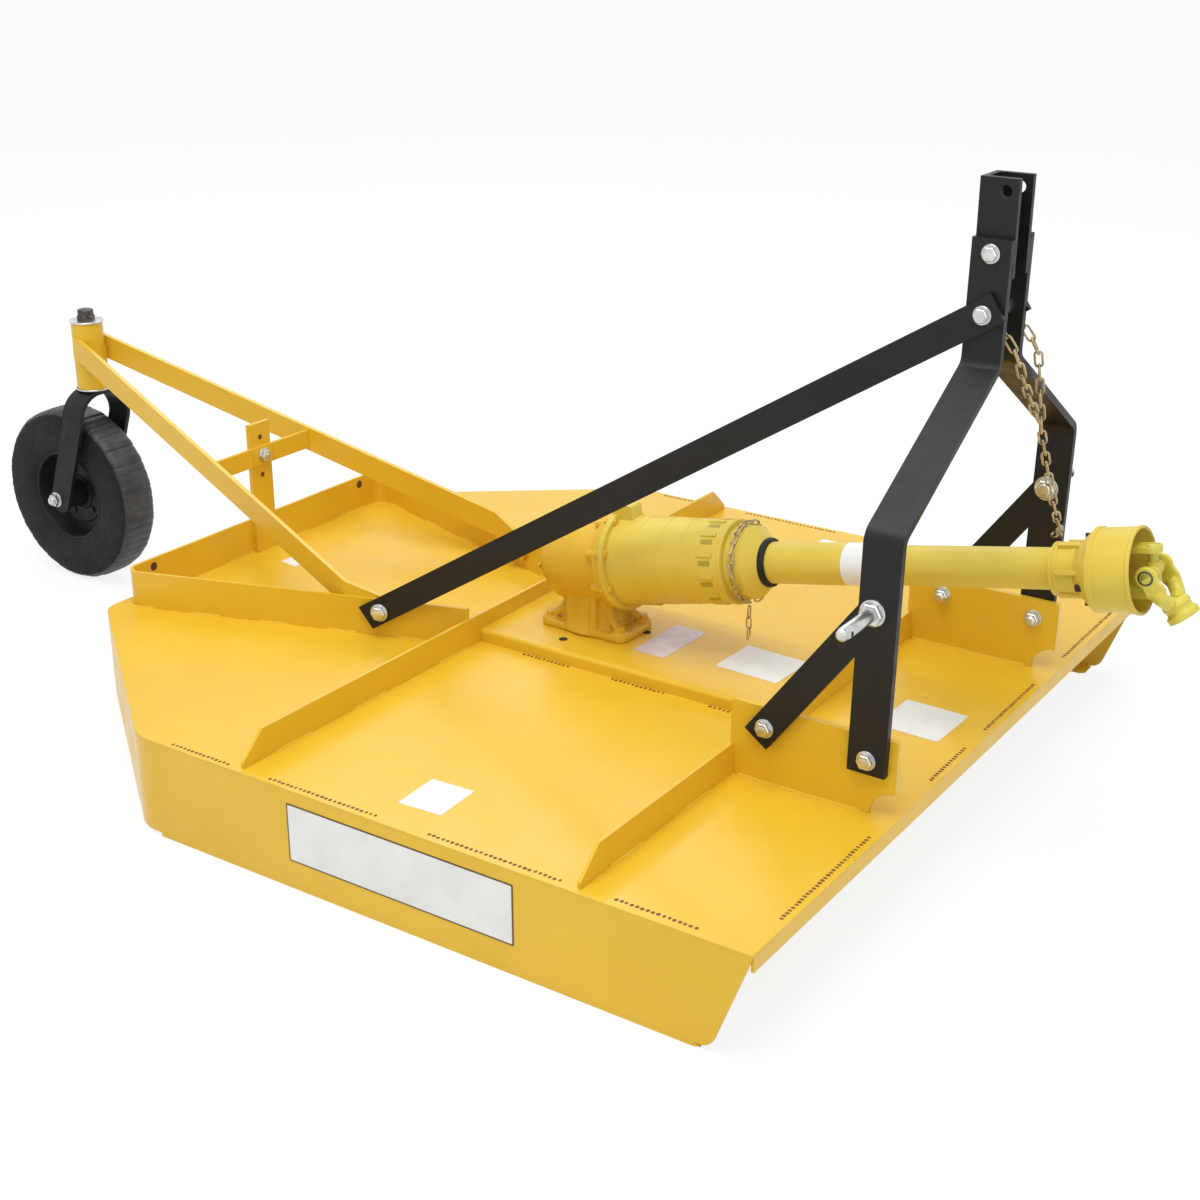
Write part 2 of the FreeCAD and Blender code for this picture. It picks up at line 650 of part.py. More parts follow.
def caster_fork():
    """Round-topped flat-bar fork with its stem, washers and cap nut."""
    outer = FORK_HALF
    inside = outer - FORK_THICKNESS
    bend = outer - FORK_THICKNESS - 4
    foot = TYRE_R - FORK_WIDTH / 2
    arch = [(-outer, 0, 0), (-outer, FORK_TOP, bend + 8), (outer, FORK_TOP, bend + 8), (outer, 0, 0)]
    under = FORK_TOP - FORK_THICKNESS
    hollow = [(-inside, -1, 0), (-inside, under, bend - 4), (inside, under, bend - 4), (inside, -1, 0)]
    rear = AXLE_X - FORK_WIDTH
    front = SWIVEL_X + FORK_WIDTH
    bar = prism("yz", arch, rear, front).cut(prism("yz", hollow, rear - 1, front + 1))
    half = FORK_WIDTH / 2
    knee = FORK_TOP - 1.2 * FORK_WIDTH
    profile = [
        (SWIVEL_X + half, FORK_TOP + 1, 0), (SWIVEL_X + half, knee, half), (AXLE_X + half, foot, half - 2),
        (AXLE_X - half, foot, half - 2), (SWIVEL_X - half, knee, half), (SWIVEL_X - half, FORK_TOP + 1, 0),
    ]
    bar = bar.common(prism("xz", profile, -outer, outer))
    bar = bar.cut(rod((AXLE_X, -outer - 1, TYRE_R), (AXLE_X, outer + 1, TYRE_R), AXLE_R))
    nut_foot = SWIVEL_HEAD + WASHER_THICKNESS
    stack = [
        (FORK_TOP - FORK_THICKNESS, nut_foot + CAP_NUT_HEIGHT, SWIVEL_PIN_R),
        (FORK_TOP, SWIVEL_FOOT - WASHER_GAP, WASHER_R),
        (SWIVEL_HEAD + WASHER_GAP, nut_foot, WASHER_R),
        (nut_foot, nut_foot + CAP_NUT_HEIGHT, CAP_NUT_R),
    ]
    rods = [rod((SWIVEL_X, 0, low), (SWIVEL_X, 0, high), radius) for low, high, radius in stack]
    return fused([bar] + rods)


def caster_axle():
    """Bolt through the fork and the wheel's hub, with its head and nut."""
    end = FORK_HALF + AXLE_NUT_HEIGHT + 5
    shank = rod((AXLE_X, -end, TYRE_R), (AXLE_X, end, TYRE_R), AXLE_R)
    head = rod((AXLE_X, -end, TYRE_R), (AXLE_X, -FORK_HALF, TYRE_R), AXLE_NUT_R)
    nut = rod((AXLE_X, FORK_HALF, TYRE_R), (AXLE_X, FORK_HALF + AXLE_NUT_HEIGHT, TYRE_R), AXLE_NUT_R)
    return fused([shank, head, nut])


def wheel_pieces():
    """Dished disc with its hub and rim, and a solid tyre with worn shoulders."""
    centre = (AXLE_X, 0, TYRE_R)
    bore = AXLE_R + PIN_FIT
    seat = TYRE_HALF - 12
    inner = RIM_R - RIM_LIP
    near = [(HUB_HALF, bore), (HUB_HALF, HUB_R), (8, HUB_R + 6), (5, inner - 8), (seat, inner), (seat, RIM_R)]
    far = [(-y, r) for y, r in near[::-1]]
    rim = turned(near + far, "y", centre)
    shoulder = TYRE_R - 18
    sides = [(seat, RIM_R), (TYRE_HALF, RIM_R + 22), (TYRE_HALF, shoulder), (TYRE_HALF - 13, TYRE_R)]
    tyre = turned(sides + [(-y, r) for y, r in sides[::-1]], "y", centre)
    return {"wheel_rim": rim, "wheel_tyre": tyre}


def gearbox_housing():
    """Cast case: bolted foot, ribbed column and a barrel on the drive line."""
    foot_top = CHANNEL_TOP + FOOT_HEIGHT
    x0 = ROTOR_X - FOOT_LENGTH / 2
    x1 = ROTOR_X + FOOT_LENGTH / 2
    y1 = FOOT_WIDTH / 2
    foot = prism("xy", [(x0, -y1, 16), (x1, -y1, 16), (x1, y1, 16), (x0, y1, 16)], CHANNEL_TOP, foot_top)
    head_z = LINE_START.z
    column = turned([(foot_top, 0), (foot_top, COLUMN_FOOT_R), (head_z, COLUMN_HEAD_R), (head_z, 0)],
                    "z", (ROTOR_X, 0, 0))
    rear = -2 * LINE_FORWARD
    barrel = on_line(turned([
        (rear - 18, 0), (rear - 18, BODY_R - 26), (rear - 8, BODY_R - 20), (rear, BODY_R - 20),
        (rear + 8, BODY_R - 4), (FLANGE_S - 22, BODY_R), (FLANGE_S - 16, FLANGE_R),
        (FLANGE_S, FLANGE_R), (FLANGE_S, 0),
    ], "x", (0, 0, 0)))
    output_foot = DECK_TOP - OUTPUT_DROP
    output = rod((ROTOR_X, 0, output_foot), (ROTOR_X, 0, foot_top), OUTPUT_R)
    bore_r = SPINDLE_R + PIN_FIT
    output = output.cut(rod((ROTOR_X, 0, output_foot - 1), (ROTOR_X, 0, SPINDLE_TOP + 1), bore_r))
    pieces = [barrel, column, foot, output]
    for turn in (35, 145, 215, 325):
        x = ROTOR_X + COLUMN_FOOT_R * math.cos(math.radians(turn))
        y = COLUMN_FOOT_R * math.sin(math.radians(turn))
        pieces.append(rod((x, y, foot_top), (x, y, head_z), COLUMN_RIB_R))
    web = COLUMN_RIB_R / 2
    crest = foot_top + 70
    gusset = [(x0 + 14, foot_top), (x1 - 14, foot_top), (ROTOR_X + 20, crest), (ROTOR_X - 20, crest)]
    pieces.append(prism("xz", gusset, -web, web))
    pieces.append(box(ROTOR_X - 16, ROTOR_X + 16, -16, 16, head_z, head_z + BODY_R))
    return fused(pieces)


def gearbox_guard():
    """Tapered plastic bell bolted round the gearbox's input, with a lug on top."""
    inner = GUARD_R - GUARD_WALL
    end_inner = GUARD_END_R - GUARD_WALL
    bell = turned([
        (FLANGE_S, end_inner), (FLANGE_S, GUARD_RIM_R), (0, GUARD_RIM_R), (0, GUARD_R),
        (GUARD_LENGTH, GUARD_END_R), (GUARD_LENGTH, end_inner), (GUARD_LENGTH - 18, end_inner),
        (6, inner), (6, end_inner),
    ], "x", (0, 0, 0))
    lug = prism("xz", [(-12, inner + 2), (30, inner + 2), (30, 108, 6), (-12, 113, 6)], -18, 18)
    lug = lug.cut(rod((-20, 0, 0), (40, 0, 0), inner + 2))
    return on_line(fused([bell, lug]))


def drive_guards():
    """Guard shells on the drive line: rows of distance along it and radius."""
    seat = GUARD_END_R - GUARD_WALL
    cone = [
        (GUARD_LENGTH - 15, CONE_R - CONE_WALL), (GUARD_LENGTH - 15, seat), (GUARD_LENGTH, seat),
        (GUARD_LENGTH, CONE_R), (CONE_TAPER_S, CONE_R - 1), (CONE_NOSE_S, CONE_NOSE_R),
        (CONE_NOSE_S, CONE_NOSE_R - CONE_WALL), (CONE_TAPER_S - 2, CONE_R - 4), (COLLAR_S + 6, CONE_R - 4),
        (COLLAR_S + 6, REAR_TUBE_R), (COLLAR_S, REAR_TUBE_R), (COLLAR_S, CONE_R - CONE_WALL),
    ]
    slide_bore = FRONT_TUBE_R + PIN_FIT
    rear_tube = [
        (COLLAR_S, slide_bore), (COLLAR_S, REAR_TUBE_R),
        (REAR_TUBE_END_S, REAR_TUBE_R), (REAR_TUBE_END_S, slide_bore),
    ]
    tube_inner = FRONT_TUBE_R - TUBE_WALL
    tube_end = BELL_FLARE_S + 5
    front_tube = [
        (FRONT_TUBE_START_S, tube_inner), (FRONT_TUBE_START_S, FRONT_TUBE_R),
        (tube_end, FRONT_TUBE_R), (tube_end, tube_inner),
    ]
    disc_end = tube_end + DISC_THICKNESS
    bearing = SHAFT_R + PIN_FIT
    neck_ring = [
        (BELL_S, FRONT_TUBE_R), (BELL_S, BELL_NECK_R),
        (BELL_FLARE_S, BELL_NECK_R + 1), (BELL_FLARE_S, FRONT_TUBE_R),
    ]
    front_bell = [
        (BELL_FLARE_S, FRONT_TUBE_R), (BELL_FLARE_S, BELL_NECK_R + 1), (BELL_FULL_S, BELL_R - 3),
        (BELL_RIM_S, BELL_R), (BELL_RIM_S, BELL_R - BELL_WALL),
        (BELL_FULL_S + 2, BELL_R - 3 - BELL_WALL), (disc_end, BELL_R - 15), (disc_end, bearing),
        (tube_end, bearing), (tube_end, FRONT_TUBE_R),
    ]
    rows = [
        ("guard_cone_rear", cone), ("guard_tube_rear", rear_tube),
        ("guard_tube_front", front_tube), ("guard_collar_front", neck_ring), ("guard_bell_front", front_bell),
    ]
    return {name: on_line(turned(profile, "x", (0, 0, 0))) for name, profile in rows}


def yoke_ears():
    """Two drilled ears and their rounded bridge about the joint's centre, with the pin along Y."""
    sides = [
        (-EAR_R, -EAR_R, EAR_R - 0.1), (-EAR_R, EAR_R, EAR_R - 0.1),
        (EAR_ROOT, EAR_R, 0), (EAR_ROOT, -EAR_R, 0),
    ]
    plan = [
        (-EAR_R, -EAR_SPAN, 0), (EAR_ROOT, -EAR_SPAN, EAR_CORNER_R),
        (EAR_ROOT, EAR_SPAN, EAR_CORNER_R), (-EAR_R, EAR_SPAN, 0),
    ]
    inner = EAR_SPAN - EAR_THICKNESS
    throat = [
        (-2 * EAR_R, -inner, 0), (EAR_DEPTH, -inner, THROAT_CORNER_R),
        (EAR_DEPTH, inner, THROAT_CORNER_R), (-2 * EAR_R, inner, 0),
    ]
    block = prism("xz", sides, -EAR_SPAN, EAR_SPAN).common(prism("xy", plan, -EAR_R, EAR_R))
    block = block.cut(prism("xy", throat, -EAR_R - 1, EAR_R + 1))
    return block.cut(rod((0, -EAR_SPAN - 1, 0), (0, EAR_SPAN + 1, 0), CAP_R + PIN_FIT))


def place_joint(shape, droop):
    """Move a piece built about the joint's centre onto the drive line's end."""
    shape.rotate(ZERO, AXIS_Y, droop)
    shape.translate(Vec(JOINT_S, 0, 0))
    return on_line(shape)


def drive_shaft():
    """Round shaft inside the guards, ending in the inner yoke."""
    ears = yoke_ears()
    ears.rotate(ZERO, AXIS_X, 90)
    ears.rotate(ZERO, AXIS_Z, 180)
    hub = rod((-EAR_ROOT - 20, 0, 0), (1 - EAR_ROOT, 0, 0), YOKE_HUB_R)
    shaft = rod((SHAFT_START_S - JOINT_S, 0, 0), (-EAR_ROOT, 0, 0), SHAFT_R)
    return place_joint(fused([ears, hub, shaft]), 0)


def joint_cross():
    """Cross of two pins with bearing caps at their ends."""
    inner = EAR_SPAN - EAR_THICKNESS
    pieces = []
    for direction in (AXIS_Y, AXIS_Z):
        for reach, radius in [(EAR_SPAN, CROSS_R), (inner / 2, CROSS_R + 3)]:
            pieces.append(rod(direction * -reach, direction * reach, radius))
        for side in (-1, 1):
            start = direction * (side * (inner - 1))
            pieces.append(rod(start, direction * (side * (EAR_SPAN - 1)), CAP_R))
    return place_joint(fused(pieces), 0)


def yoke_pieces():
    """Outer yoke, hanging from the joint, and its hub with the bore for the tractor's shaft."""
    reach = EAR_ROOT + YOKE_HUB_LENGTH
    relief = rod((EAR_DEPTH - 1, 0, 0), (EAR_ROOT + 1, 0, 0), YOKE_RELIEF_R)
    bore = rod((EAR_ROOT - 1, 0, 0), (reach + 1, 0, 0), YOKE_BORE_R)
    hub = rod((EAR_ROOT, 0, 0), (reach, 0, 0), YOKE_HUB_R)
    return {
        "tractor_yoke": place_joint(yoke_ears().cut(relief), YOKE_DROOP),
        "yoke_hub": place_joint(hub.cut(bore), YOKE_DROOP),
    }


def rotor_pieces():
    """Spindle, dished stump-jumper pan and the two blade bolts."""
    x = ROTOR_X
    spindle = rod((x, 0, SPINDLE_FOOT), (x, 0, SPINDLE_TOP), SPINDLE_R)
    top = PAN_Z + PAN_THICKNESS
    dish = turned([
        (PAN_Z, SPINDLE_R), (PAN_Z, PAN_FLAT_R), (PAN_Z + PAN_RISE, PAN_R),
        (top + PAN_RISE, PAN_R - 2), (top, PAN_FLAT_R - 2), (top, SPINDLE_R),
    ], "z", (x, 0, 0))
    hub_top = top + PAN_HUB_HEIGHT
    hub = turned([(top, SPINDLE_R), (top, PAN_HUB_R), (hub_top, PAN_HUB_R - 4), (hub_top, SPINDLE_R)],
                 "z", (x, 0, 0))
    pan = fused([dish, hub])
    bolts = []
    blade_top = PAN_Z - BLADE_GAP - BLADE_THICKNESS / 2
    blade_foot = blade_top - BLADE_THICKNESS
    rows = [
        (blade_foot - BLADE_GAP - 14, top + 18, BLADE_BOLT_R),
        (blade_foot - BLADE_GAP - 14, blade_foot - BLADE_GAP, BLADE_BOLT_R + 10),
        (blade_top + BLADE_GAP, PAN_Z, BLADE_BOLT_R + 8), (top, top + 18, BLADE_BOLT_R + 8),
    ]
    for y in (-BLADE_PIVOT_R, BLADE_PIVOT_R):
        pan = pan.cut(rod((x, y, PAN_Z - 1), (x, y, top + 1), BLADE_BOLT_R))
        bolts.append(fused([rod((x, y, low), (x, y, high), radius) for low, high, radius in rows]))
    return {"rotor_spindle": spindle, "blade_pan": pan, "blade_bolts": Part.makeCompound(bolts)}


def blade():
    """Free-swinging blade on the machine's left, stepped down towards its tip."""
    half = BLADE_WIDTH / 2
    start = BLADE_PIVOT_R - half - 2
    outline = [
        (-half, start, half - 1), (half, start, half - 1),
        (half, BLADE_TIP_R, 0), (-half, BLADE_TIP_R, 6),
    ]
    plan = prism("xy", outline, 0, DECK_TOP)
    middle = PAN_Z - BLADE_GAP - BLADE_THICKNESS
    step = BLADE_PIVOT_R + 1.2 * BLADE_WIDTH
    path = [
        (start - 5, middle), (step, middle),
        (step + 2 * BLADE_DROP, middle - BLADE_DROP), (BLADE_TIP_R + 5, middle - BLADE_DROP),
    ]
    piece = plan.common(prism("yz", strip(path, BLADE_THICKNESS, 14), -half - 1, half + 1))
    piece = piece.cut(rod((0, BLADE_PIVOT_R, 0), (0, BLADE_PIVOT_R, DECK_TOP), BLADE_BOLT_R + PIN_FIT))
    piece.translate(Vec(ROTOR_X, 0, 0))
    return piece


def chain_link(length, width, wire):
    """Flat eight-sided link in the XY plane about the origin; length is inside to inside."""
    half = length / 2
    side = width / 2
    rings = []
    for grow, share in ((wire, 0.7), (0, 0.4)):
        x = half + grow
        y = side + grow
        cut = y * share
        corners = [
            (x - cut, -y), (x, cut - y), (x, y - cut), (x - cut, y),
            (cut - x, y), (-x, y - cut), (-x, cut - y), (cut - x, -y),
        ]
        rings.append(corners)
    ring = prism("xy", rings[0], -wire / 2, wire / 2)
    return ring.cut(prism("xy", rings[1], -wire, wire))


def chain(points, size):
    """Links along a line of points, each turned a quarter from the last."""
    length, width, wire = size
    line = Part.makePolygon([Vec(*point) for point in points])
    count = round(line.Length / (length - CHAIN_SLACK))
    link = chain_link(line.Length / count + CHAIN_SLACK, width, wire)
    places = line.discretize(Number=count + 1)
    links = []
    for i in range(count):
        start = places[i]
        end = places[i + 1]
        turn = FreeCAD.Rotation(AXIS_X, 90 * (i % 2))
        aim = FreeCAD.Rotation(AXIS_X, end - start)
        piece = link.copy()
        piece.Placement = FreeCAD.Placement((start + end) * 0.5, aim.multiply(turn))
        links.append(piece)
    return links


def hitch_chain():
    """Two strands from the lower hitch bolt that join and hang down to the left leg."""
    x, z = LOWER_BOLT
    wire = HITCH_LINK[2]
    hang_x = leg_x(z) + LEG_WIDTH / 2 + 10
    bolt_end = LEG_TOP_HALF + LEG_THICKNESS / 2 + FLAT_BAR_THICKNESS + HITCH_NUT_HEIGHT
    hook_z = z - HITCH_NUT_R - wire - LOOSE_GAP
    foot_y = BRACKET_OUTER - wire - 1.5
    foot_x = leg_x(z - 470) + LEG_WIDTH / 4
    join = (hang_x, 137, z - 227)
    outer = [
        (x + 8, bolt_end - 6, hook_z), (hang_x, bolt_end + 14, z - 75), (hang_x, 102, z - 117), join,
        (hang_x, 215, z - 358), (hang_x, 252, z - 411), (hang_x - 3, foot_y - 52, z - 448),
        (hang_x - 14, foot_y - 22, z - 468), (foot_x, foot_y, z - 478),
    ]
    inner = [
        (x + 6, -4, hook_z - 1.6), (hang_x - 3, 6, z - 72), (hang_x, 28, z - 112), (hang_x, 118.6, z - 206.6),
    ]
    return chain(outer, HITCH_LINK) + chain(inner, HITCH_LINK)


def guard_chain():
    """Chain wrapped round the rear cone, with a short end hanging free."""
    length, width, wire = GUARD_LINK
    half = width / 2 + wire
    bow = (length + 2 * wire) ** 2 / (8 * CONE_R)
    radius = CONE_R + half + bow - 1
    step = 2 * math.asin((length - CHAIN_SLACK) / 2 / radius)
    around = []
    for i in range(GUARD_CHAIN_LINKS + 1):
        turn = GUARD_CHAIN_START - i * step
        around.append(line_point(GUARD_CHAIN_S, radius * math.cos(turn), radius * math.sin(turn)))
    end = around[0] - AXIS_Z * (half + wire / 2 + LOOSE_GAP)
    drop = end - AXIS_Z * (3 * (length - CHAIN_SLACK))
    return chain(around, GUARD_LINK) + chain([end, drop], GUARD_LINK)


def build():
    nodes = {}
    nodes.update(deck_pieces())
    nodes["skirt_right"] = skirt()
    nodes["skirt_left"] = mirrored(nodes["skirt_right"])
    nodes["skid_shoes"] = Part.makeCompound([skid(), mirrored(skid())])
    nodes.update(ribs())
    nodes["centre_channel"] = centre_channel()
    nodes["hitch_brackets"] = Part.makeCompound([bracket(), mirrored(bracket())])
    nodes["leg_right"] = leg()
    nodes["leg_left"] = mirrored(nodes["leg_right"])
    nodes["hitch_struts"] = Part.makeCompound([strut(), mirrored(strut())])
    nodes["lift_pins"] = Part.makeCompound([lift_pin(), mirrored(lift_pin())])
    nodes["brace_right"] = brace()
    nodes["brace_left"] = mirrored(nodes["brace_right"])
    nodes["top_clevis"] = top_clevis()
    nodes["hitch_bolts"] = hitch_bolts()
    nodes.update(tail_pieces())
    nodes["caster_fork"] = caster_fork()
    nodes["caster_axle"] = caster_axle()
    nodes.update(wheel_pieces())
    nodes["gearbox_housing"] = gearbox_housing()
    nodes["gearbox_guard"] = gearbox_guard()
    nodes.update(drive_guards())
    nodes["drive_shaft"] = drive_shaft()
    nodes["joint_cross"] = joint_cross()
    nodes.update(yoke_pieces())
    nodes.update(rotor_pieces())
    nodes["blade_left"] = blade()
    nodes["blade_right"] = nodes["blade_left"].copy()
    nodes["blade_right"].rotate(Vec(ROTOR_X, 0, 0), AXIS_Z, 180)
    nodes["hitch_chain"] = Part.makeCompound(hitch_chain())
    nodes["guard_chain"] = Part.makeCompound(guard_chain())
    return nodes


def main():
    os.makedirs("parts", exist_ok=True)
    for name, shape in build().items():
        shape.translate(Vec(FRAME_SHIFT, 0, 0))
        shape.exportStep(f"parts/{name}.step")


main()
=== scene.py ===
"""Looks of the rotary cutter: materials, bolts, welds, labels and the photograph's camera.

Sizes are in millimetres from the deck's front edge, X forward, Y to the left, Z up from the
ground. at() turns them into the frame's metres. Lengths on the drive line start at the guard.
"""
import json
import math
import random

import bmesh
import bpy
from mathutils import Matrix, Vector


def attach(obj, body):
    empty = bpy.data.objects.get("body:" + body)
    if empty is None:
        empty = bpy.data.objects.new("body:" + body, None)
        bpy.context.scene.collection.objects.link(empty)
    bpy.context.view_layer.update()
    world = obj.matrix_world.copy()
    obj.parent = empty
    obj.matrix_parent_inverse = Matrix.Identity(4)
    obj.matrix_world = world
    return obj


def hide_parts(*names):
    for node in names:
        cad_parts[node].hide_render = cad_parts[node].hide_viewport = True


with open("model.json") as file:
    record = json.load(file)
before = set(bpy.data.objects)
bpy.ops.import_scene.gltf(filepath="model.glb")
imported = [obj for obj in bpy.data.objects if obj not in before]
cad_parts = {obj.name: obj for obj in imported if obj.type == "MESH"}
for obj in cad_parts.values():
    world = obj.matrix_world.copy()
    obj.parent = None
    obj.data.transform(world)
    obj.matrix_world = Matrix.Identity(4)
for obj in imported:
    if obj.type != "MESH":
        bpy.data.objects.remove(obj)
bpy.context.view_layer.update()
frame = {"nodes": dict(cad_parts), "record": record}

MM = 0.001
FRAME_SHIFT = 1069.82
QUADRANTS = ((-1, -1), (-1, 1), (1, -1), (1, 1))

# The photograph's camera, in metres and degrees.
CAMERA_PLACE = (2.0838, -2.679, 1.582)
CAMERA_AZIMUTH = 34.0
CAMERA_ELEVATION = 22.2
CAMERA_LENS = 54.42
SENSOR_WIDTH = 36.0

# Studio: the floor's size in metres, how far it glows by itself, and the even world.
FLOOR_SIZE = 160.0
FLOOR_GLOW = 0.8
FLOOR_STRENGTH = 1.06
WORLD_LEVEL = 0.62
LAMP_AIM = (0.0, 0.0, 0.3)

# Meshes: the angle above which an edge stays sharp.
SHARP_ANGLE = math.radians(32)

# Deck with its ribs and channel.
DECK_TOP = 185.0
DECK_HALF_WIDTH = 800.0
CHANNEL_TOP = 210.0
FRONT_RIB_X = -299.0
REAR_RIB_X = -978.0
RIB_HALF = 3.0

# Hitch: side faces as distances from the middle, places as x, z, then lengths and a radius.
LEG_OUTER = 357.35
BRACKET_OUTER = 344.65
BRACKET_INNER = 334.65
HITCH_FACE = 45.7
BRACE_FACE = 55.74
LEG_FOOT = (-52.1, 283.0)
STRUT_FOOT = (-233.0, 289.0)
UPPER_BOLT = (-40.0, 1023.0)
LOWER_BOLT = (-42.0, 929.0)
LIFT_PIN = (-55.0, 532.0)
LIFT_COLLAR = 6.0
LIFT_HOLE_REACH = 92.0
SPACER_R = 16.0
SPACER_HALF = 33.0

# Bolts: radius of the shanks in the hitch and the tail wheel, then of the heads across corners.
SHANK_R = 9.4
HITCH_HEAD_R = 12.6
FOOT_HEAD_R = 13.5
BRACE_HEAD_R = 14.5
POST_HEAD_R = 13.0
AXLE_HEAD_R = 15.0
SWIVEL_NUT_R = 19.9
WASHER_HOLE_R = 5.0
THREAD_PITCH = 1.8

# Tail frame, one bar bent round the deck's rear, with its post and crossbar.
TAIL_REAR_X = -1683.0
TAIL_FRONT_HALF = 170.3
TAIL_REAR_HALF = 397.8
TAIL_SLOPE = (TAIL_REAR_HALF - TAIL_FRONT_HALF) / (REAR_RIB_X - TAIL_REAR_X)
TAIL_BAR_HALF = 3.0
TAIL_BOLT = (-1150.0, 237.0)
BRACE_STACK = 13.0
CROSSBAR_FACE = -1662.0
POST_BACK = -1680.0
POST_FRONT = -1670.0
POST_HALF = 30.0
POST_BOLT_Z = 401.0

# Tail wheel, its fork and the tube that it swivels in.
SWIVEL_X = -2185.0
SWIVEL_FOOT = 472.0
SWIVEL_HEAD = 622.0
SWIVEL_WASHER_R = 38.0
SWIVEL_WASHER_HOLE_R = 15.0
WASHER_GAP = 0.1
WASHER_REACH = 4.1
AXLE_X = -2266.0
AXLE_Z = 205.0
AXLE_WASHER_R = 17.5
AXLE_WASHER = 3.0
FORK_HALF = 74.0
LAMINATIONS = 300
LAMINATION_RUN = 5
# Radius beyond which the tyre takes its lighter rubber, a painted sheen on the tread.
TREAD_SHEEN_START = 194.0
WHEEL_BOLTS = 5
WHEEL_BOLT_CIRCLE = 53.0

# Gearbox on the channel, above the rotor.
ROTOR_X = -800.0
FOOT_LENGTH = 194.0
FOOT_WIDTH = 114.0
FOOT_TOP = 224.0
FOOT_BOLT_X = 79.0
FOOT_BOLT_Y = 40.0
BOSS_TOP = 228.5
PLUG_SEAT = 433.5
RIB_CIRCLE = 57.0
FLANGE_BOLTS = 8
FLANGE_BOLT_CIRCLE = 88.0
FLANGE_BOSS_CIRCLE = 84.0
FLANGE_TURN = 22.0
CAP_BOLTS = 6
CAP_BOLT_CIRCLE = 50.0
CAP_FACE = -176.0

# Drive line: starts at the guard's rear rim and climbs forward.
LINE_START = (-722.0, 0.0, 362.0)
LINE_ANGLE = math.radians(11.0)
GUARD_R = 85.0
GUARD_END_R = 75.0
GUARD_LENGTH = 243.0
GUARD_TAPER = (GUARD_END_R - GUARD_R) / GUARD_LENGTH
SLOT_S = 205
SLOT_PITCH = 30
CONE_R = 67.0
BAND_START = 461.0
BAND_END = 508.0
BAND_R = 37.4
BAND_THICKNESS = 0.35

# Universal joint at the tractor end.
JOINT_S = 993.5
YOKE_DROOP = math.radians(60.0)
EAR_MIDDLE = 37.0
EAR_FACE = 42.0

# Chains: inside length, inside width and wire of a link, then how the links hang.
HITCH_LINK = (26.0, 8.0, 4.0)
GUARD_LINK = (21.5, 6.0, 3.0)
CHAIN_SLACK = 0.8
GUARD_CHAIN_S = 262.0
GUARD_CHAIN_LINKS = 21
GUARD_CHAIN_START = math.radians(-110)
HANGING_LINKS = 3
LOOSE_GAP = 0.3

# Welds, and the burnt marks of stitch welds.
WELD_R = 4.2
WELD_RIPPLE = 2.4
MARK_PITCH = 9.0


def at(x, y, z):
    """Place in the frame's metres."""
    return Vector(((x + FRAME_SHIFT) * MM, y * MM, z * MM))


def on_line(along, droop=0.0):
    """Frame on the drive line: its Z runs forward along the line, its X points downwards."""
    direction = Vector((math.cos(LINE_ANGLE), 0, math.sin(LINE_ANGLE)))
    place = Matrix.Translation(at(*LINE_START) + direction * along * MM)
    return place @ Matrix.Rotation(math.pi / 2 - LINE_ANGLE + droop, 4, "Y")


def polar(radius, angle, z):
    """Point at a radius and an angle about Z."""
    return Vector((radius * math.cos(angle), radius * math.sin(angle), z))


def round_line(line, radius, degrees, along=0.0):
    """Frame beside the drive line, at a radius and a turn about it."""
    return line @ Matrix.Translation(polar(radius, math.radians(degrees), along) * MM)


def guard_radius(along):
    """Outer radius of the gearbox guard at a length on the drive line."""
    return GUARD_R + GUARD_TAPER * along


def facing(place, direction):
    """Frame at a place whose Z points along a direction."""
    turn = Vector(direction).to_track_quat("Z", "Y").to_matrix().to_4x4()
    return Matrix.Translation(place) @ turn


def node_input(node, name, value):
    """Set a constant on a shader node's own socket."""
    node.inputs[name].default_value = value


def new_material(name, color, roughness, metallic=0.0, coat=0.0, specular=0.5):
    """Principled material; returns it with its tree and shader."""
    material = bpy.data.materials.new(name)
    material.use_nodes = True
    tree = material.node_tree
    shader = tree.nodes["Principled BSDF"]
    node_input(shader, "Base Color", (*color, 1))
    node_input(shader, "Roughness", roughness)
    node_input(shader, "Metallic", metallic)
    node_input(shader, "Specular IOR Level", specular)
    node_input(shader, "Coat Weight", coat)
    node_input(shader, "Coat Roughness", 0.12)
    return material, tree, shader


def noise(tree, scale, detail=4.0):
    """Noise over the object's own coordinates; returns its factor."""
    place = tree.nodes.new("ShaderNodeTexCoord")
    texture = tree.nodes.new("ShaderNodeTexNoise")
    node_input(texture, "Scale", scale)
    node_input(texture, "Detail", detail)
    tree.links.new(place.outputs["Object"], texture.inputs["Vector"])
    return texture.outputs["Fac"]


def ramp(tree, factor, stops):
    """Colour ramp from rows of position, colour."""
    node = tree.nodes.new("ShaderNodeValToRGB")
    elements = node.color_ramp.elements
    for element, (position, color) in zip(elements, stops):
        element.position = position
        element.color = (*color, 1)
    tree.links.new(factor, node.inputs["Fac"])
    return node.outputs["Color"]


def bump(tree, shader, height, strength, distance, edge=0.0012):
    """Surface grain over edges that are softened by a small radius."""
    node = tree.nodes.new("ShaderNodeBump")
    node_input(node, "Strength", strength)
    node_input(node, "Distance", distance)
    bevel = tree.nodes.new("ShaderNodeBevel")
    bevel.samples = 4
    node_input(bevel, "Radius", edge)
    tree.links.new(bevel.outputs["Normal"], node.inputs["Normal"])
    tree.links.new(height, node.inputs["Height"])
    tree.links.new(node.outputs["Normal"], shader.inputs["Normal"])


